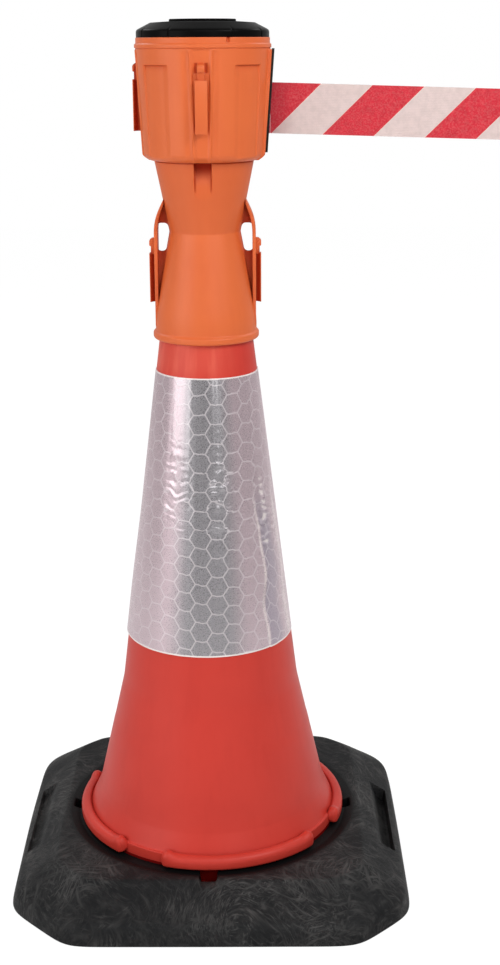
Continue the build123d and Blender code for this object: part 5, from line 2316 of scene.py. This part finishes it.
@dataclass
class Inside:
    """Solids inside the head that keep their shape and get their finish."""

    finishes: Finishes

    def build(self) -> None:
        """Dress each solid."""
        table = {
            self.finishes.grey: (
                "cassette_case", "cassette_cover", "spool_drum", "spring_barrel", "spring_cover",
            ),
            self.finishes.white: ("lower_bush", "upper_bush", "thrust_washer"),
            self.finishes.steel: ("head_screws", "cassette_screws", "guide_pins", "arbor", "belt_end_pin"),
            self.finishes.spring: ("power_spring",),
        }
        for material, names in table.items():
            for name in names:
                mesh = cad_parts[name].data
                mesh.materials.clear()
                mesh.materials.append(material)
                LOG.info("%s: finish %s", name, material.name)


@dataclass
class Studio:
    """Pale floor, soft lights and the camera of the photograph."""

    eye: Vector = field(default_factory=lambda: Vector((0.0507, -1.538, 0.893)))
    pitch: float = 16.58
    yaw: float = -0.2
    roll: float = -0.25
    focal: float = 1476.0
    long_side: float = 965.0
    sensor: float = 36.0
    floor_size: float = 12.0
    ahead: float = 0.25
    behind: float = 0.46
    mirrored: float = 0.2
    floor_share: float = 0.87
    floor_glow: float = 1.1

    def camera(self) -> None:
        """Set the camera."""
        data = bpy.data.cameras.new("camera")
        data.sensor_width = self.sensor
        data.lens = self.focal / self.long_side * self.sensor
        data.clip_start = 0.05
        turn = (
            Matrix.Rotation(math.radians(-self.yaw), 3, "Z")
            @ Matrix.Rotation(math.radians(90 - self.pitch), 3, "X")
            @ Matrix.Rotation(math.radians(self.roll), 3, "Z")
        )
        holder = bpy.data.objects.new("camera", data)
        holder.matrix_world = Matrix.LocRotScale(self.eye, turn.to_quaternion(), None)
        bpy.context.scene.collection.objects.link(holder)
        bpy.context.scene.camera = holder

    def seen(self, nodes: Nodes) -> Signal:
        """Mark the rays that show the white background.

        Args:
            nodes: Node tree that the rays are read in.

        Returns:
            1 for the camera and for clear pieces, less for mirrored light and 0 for the rest.
        """
        rays = nodes.node("LightPath").outputs
        kinds = ("Is Camera Ray", "Is Glossy Ray", "Is Transmission Ray")
        camera, glossy, clear = (Signal(nodes.tree, rays[kind]) for kind in kinds)
        return camera.most(glossy * self.mirrored).most(clear)

    def floor(self) -> None:
        """Lay the floor."""
        bench = Bench("pale floor")
        pale = bench.surface({"Base Color": PALE, "Roughness": 0.9, "Specular IOR Level": 0.1})
        glow = bench.node("Emission", None, {"Color": WHITE, "Strength": self.floor_glow})
        bench.cover(self.seen(bench) * self.floor_share, glow)
        sheet = bmesh.new()
        bmesh.ops.create_grid(sheet, x_segments=1, y_segments=1, size=self.floor_size / 2)
        mesh = bpy.data.meshes.new("floor")
        sheet.to_mesh(mesh)
        sheet.free()
        mesh.materials.append(pale)
        ground = bpy.data.objects.new("floor", mesh)
        bpy.context.scene.collection.objects.link(ground)

    def lamp(self, name: str, spot: Vector, aim: Vector, size: tuple[float, float], power: float) -> None:
        """Hang a soft light.

        Args:
            name: Name of the light.
            spot: Where it hangs.
            aim: Point that it faces.
            size: Width and height of its face.
            power: Power in watts.
        """
        data = bpy.data.lights.new(name, "AREA")
        data.shape = "RECTANGLE"
        data.size, data.size_y = size
        data.energy = power
        holder = bpy.data.objects.new(name, data)
        turn = (aim - spot).to_track_quat("-Z", "Y")
        holder.matrix_world = Matrix.LocRotScale(spot, turn, None)
        bpy.context.scene.collection.objects.link(holder)

    def sky(self) -> None:
        """Set the white surroundings and their soft light."""
        world = bpy.data.worlds.new("surroundings")
        world.use_nodes = True
        nodes = Nodes(world.node_tree)
        _, depth, _ = nodes.parts(nodes.node("TexCoord").outputs["Generated"])
        level = depth.rise(-0.4, 0.9) * (self.behind - self.ahead) + self.ahead
        soft = nodes.node("Background", None, {"Color": WHITE, "Strength": level})
        plain = nodes.node("Background", None, {"Color": WHITE, "Strength": 1.0})
        both = nodes.node("MixShader", None, {0: self.seen(nodes), 1: soft.outputs[0], 2: plain.outputs[0]})
        nodes.node("OutputWorld", None, {"Surface": both.outputs[0]})
        bpy.context.scene.world = world

    def build(self) -> None:
        """Set up the studio."""
        bpy.context.scene.view_settings.view_transform = "Standard"
        self.camera()
        self.floor()
        self.sky()
        middle = Vector((0.0, 0.0, 0.5))
        self.lamp("left softbox", Vector((-1.65, -1.25, 1.15)), middle, (1.7, 1.7), 18.5)
        self.lamp("right softbox", Vector((1.1, -1.0, 1.8)), middle + Vector((0, 0, 0.4)), (0.6, 0.8), 14.5)
        self.lamp("strip light", Vector((0.72, -1.85, 1.2)), middle, (0.2, 1.3), 3.0)
        self.lamp("front softbox", Vector((0.1, -1.9, 1.95)), middle - Vector((0, 0, 0.1)), (1.2, 0.8), 8.0)
        self.lamp("rear left softbox", Vector((-1.6, 1.6, 2.4)), middle, (0.9, 0.6), 10.0)
        self.lamp("rear right softbox", Vector((1.6, 1.6, 2.4)), middle, (0.9, 0.6), 8.0)


def main() -> None:
    """Build the barrier piece by piece and set it in the studio."""
    logging.basicConfig(level=logging.INFO, format="%(relativeCreated)d ms: %(message)s")
    Studio().build()
    finishes = Finishes()
    fitting = BeltEnd(finishes).build()
    Belt(finishes).build([fitting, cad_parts["belt_end_pin"]])
    RubberBase(finishes).build()
    cone = RedCone(finishes)
    cone.build()
    FilmSleeve(finishes, cone).build()
    TopperCollar(finishes, cone).build()
    head = TopperHead(finishes)
    head.build()
    ExitPlate(finishes, head).build()
    Lid(finishes).build()
    BeltStore(finishes).build()
    Inside(finishes).build()


if __name__ == "__main__":
    main()
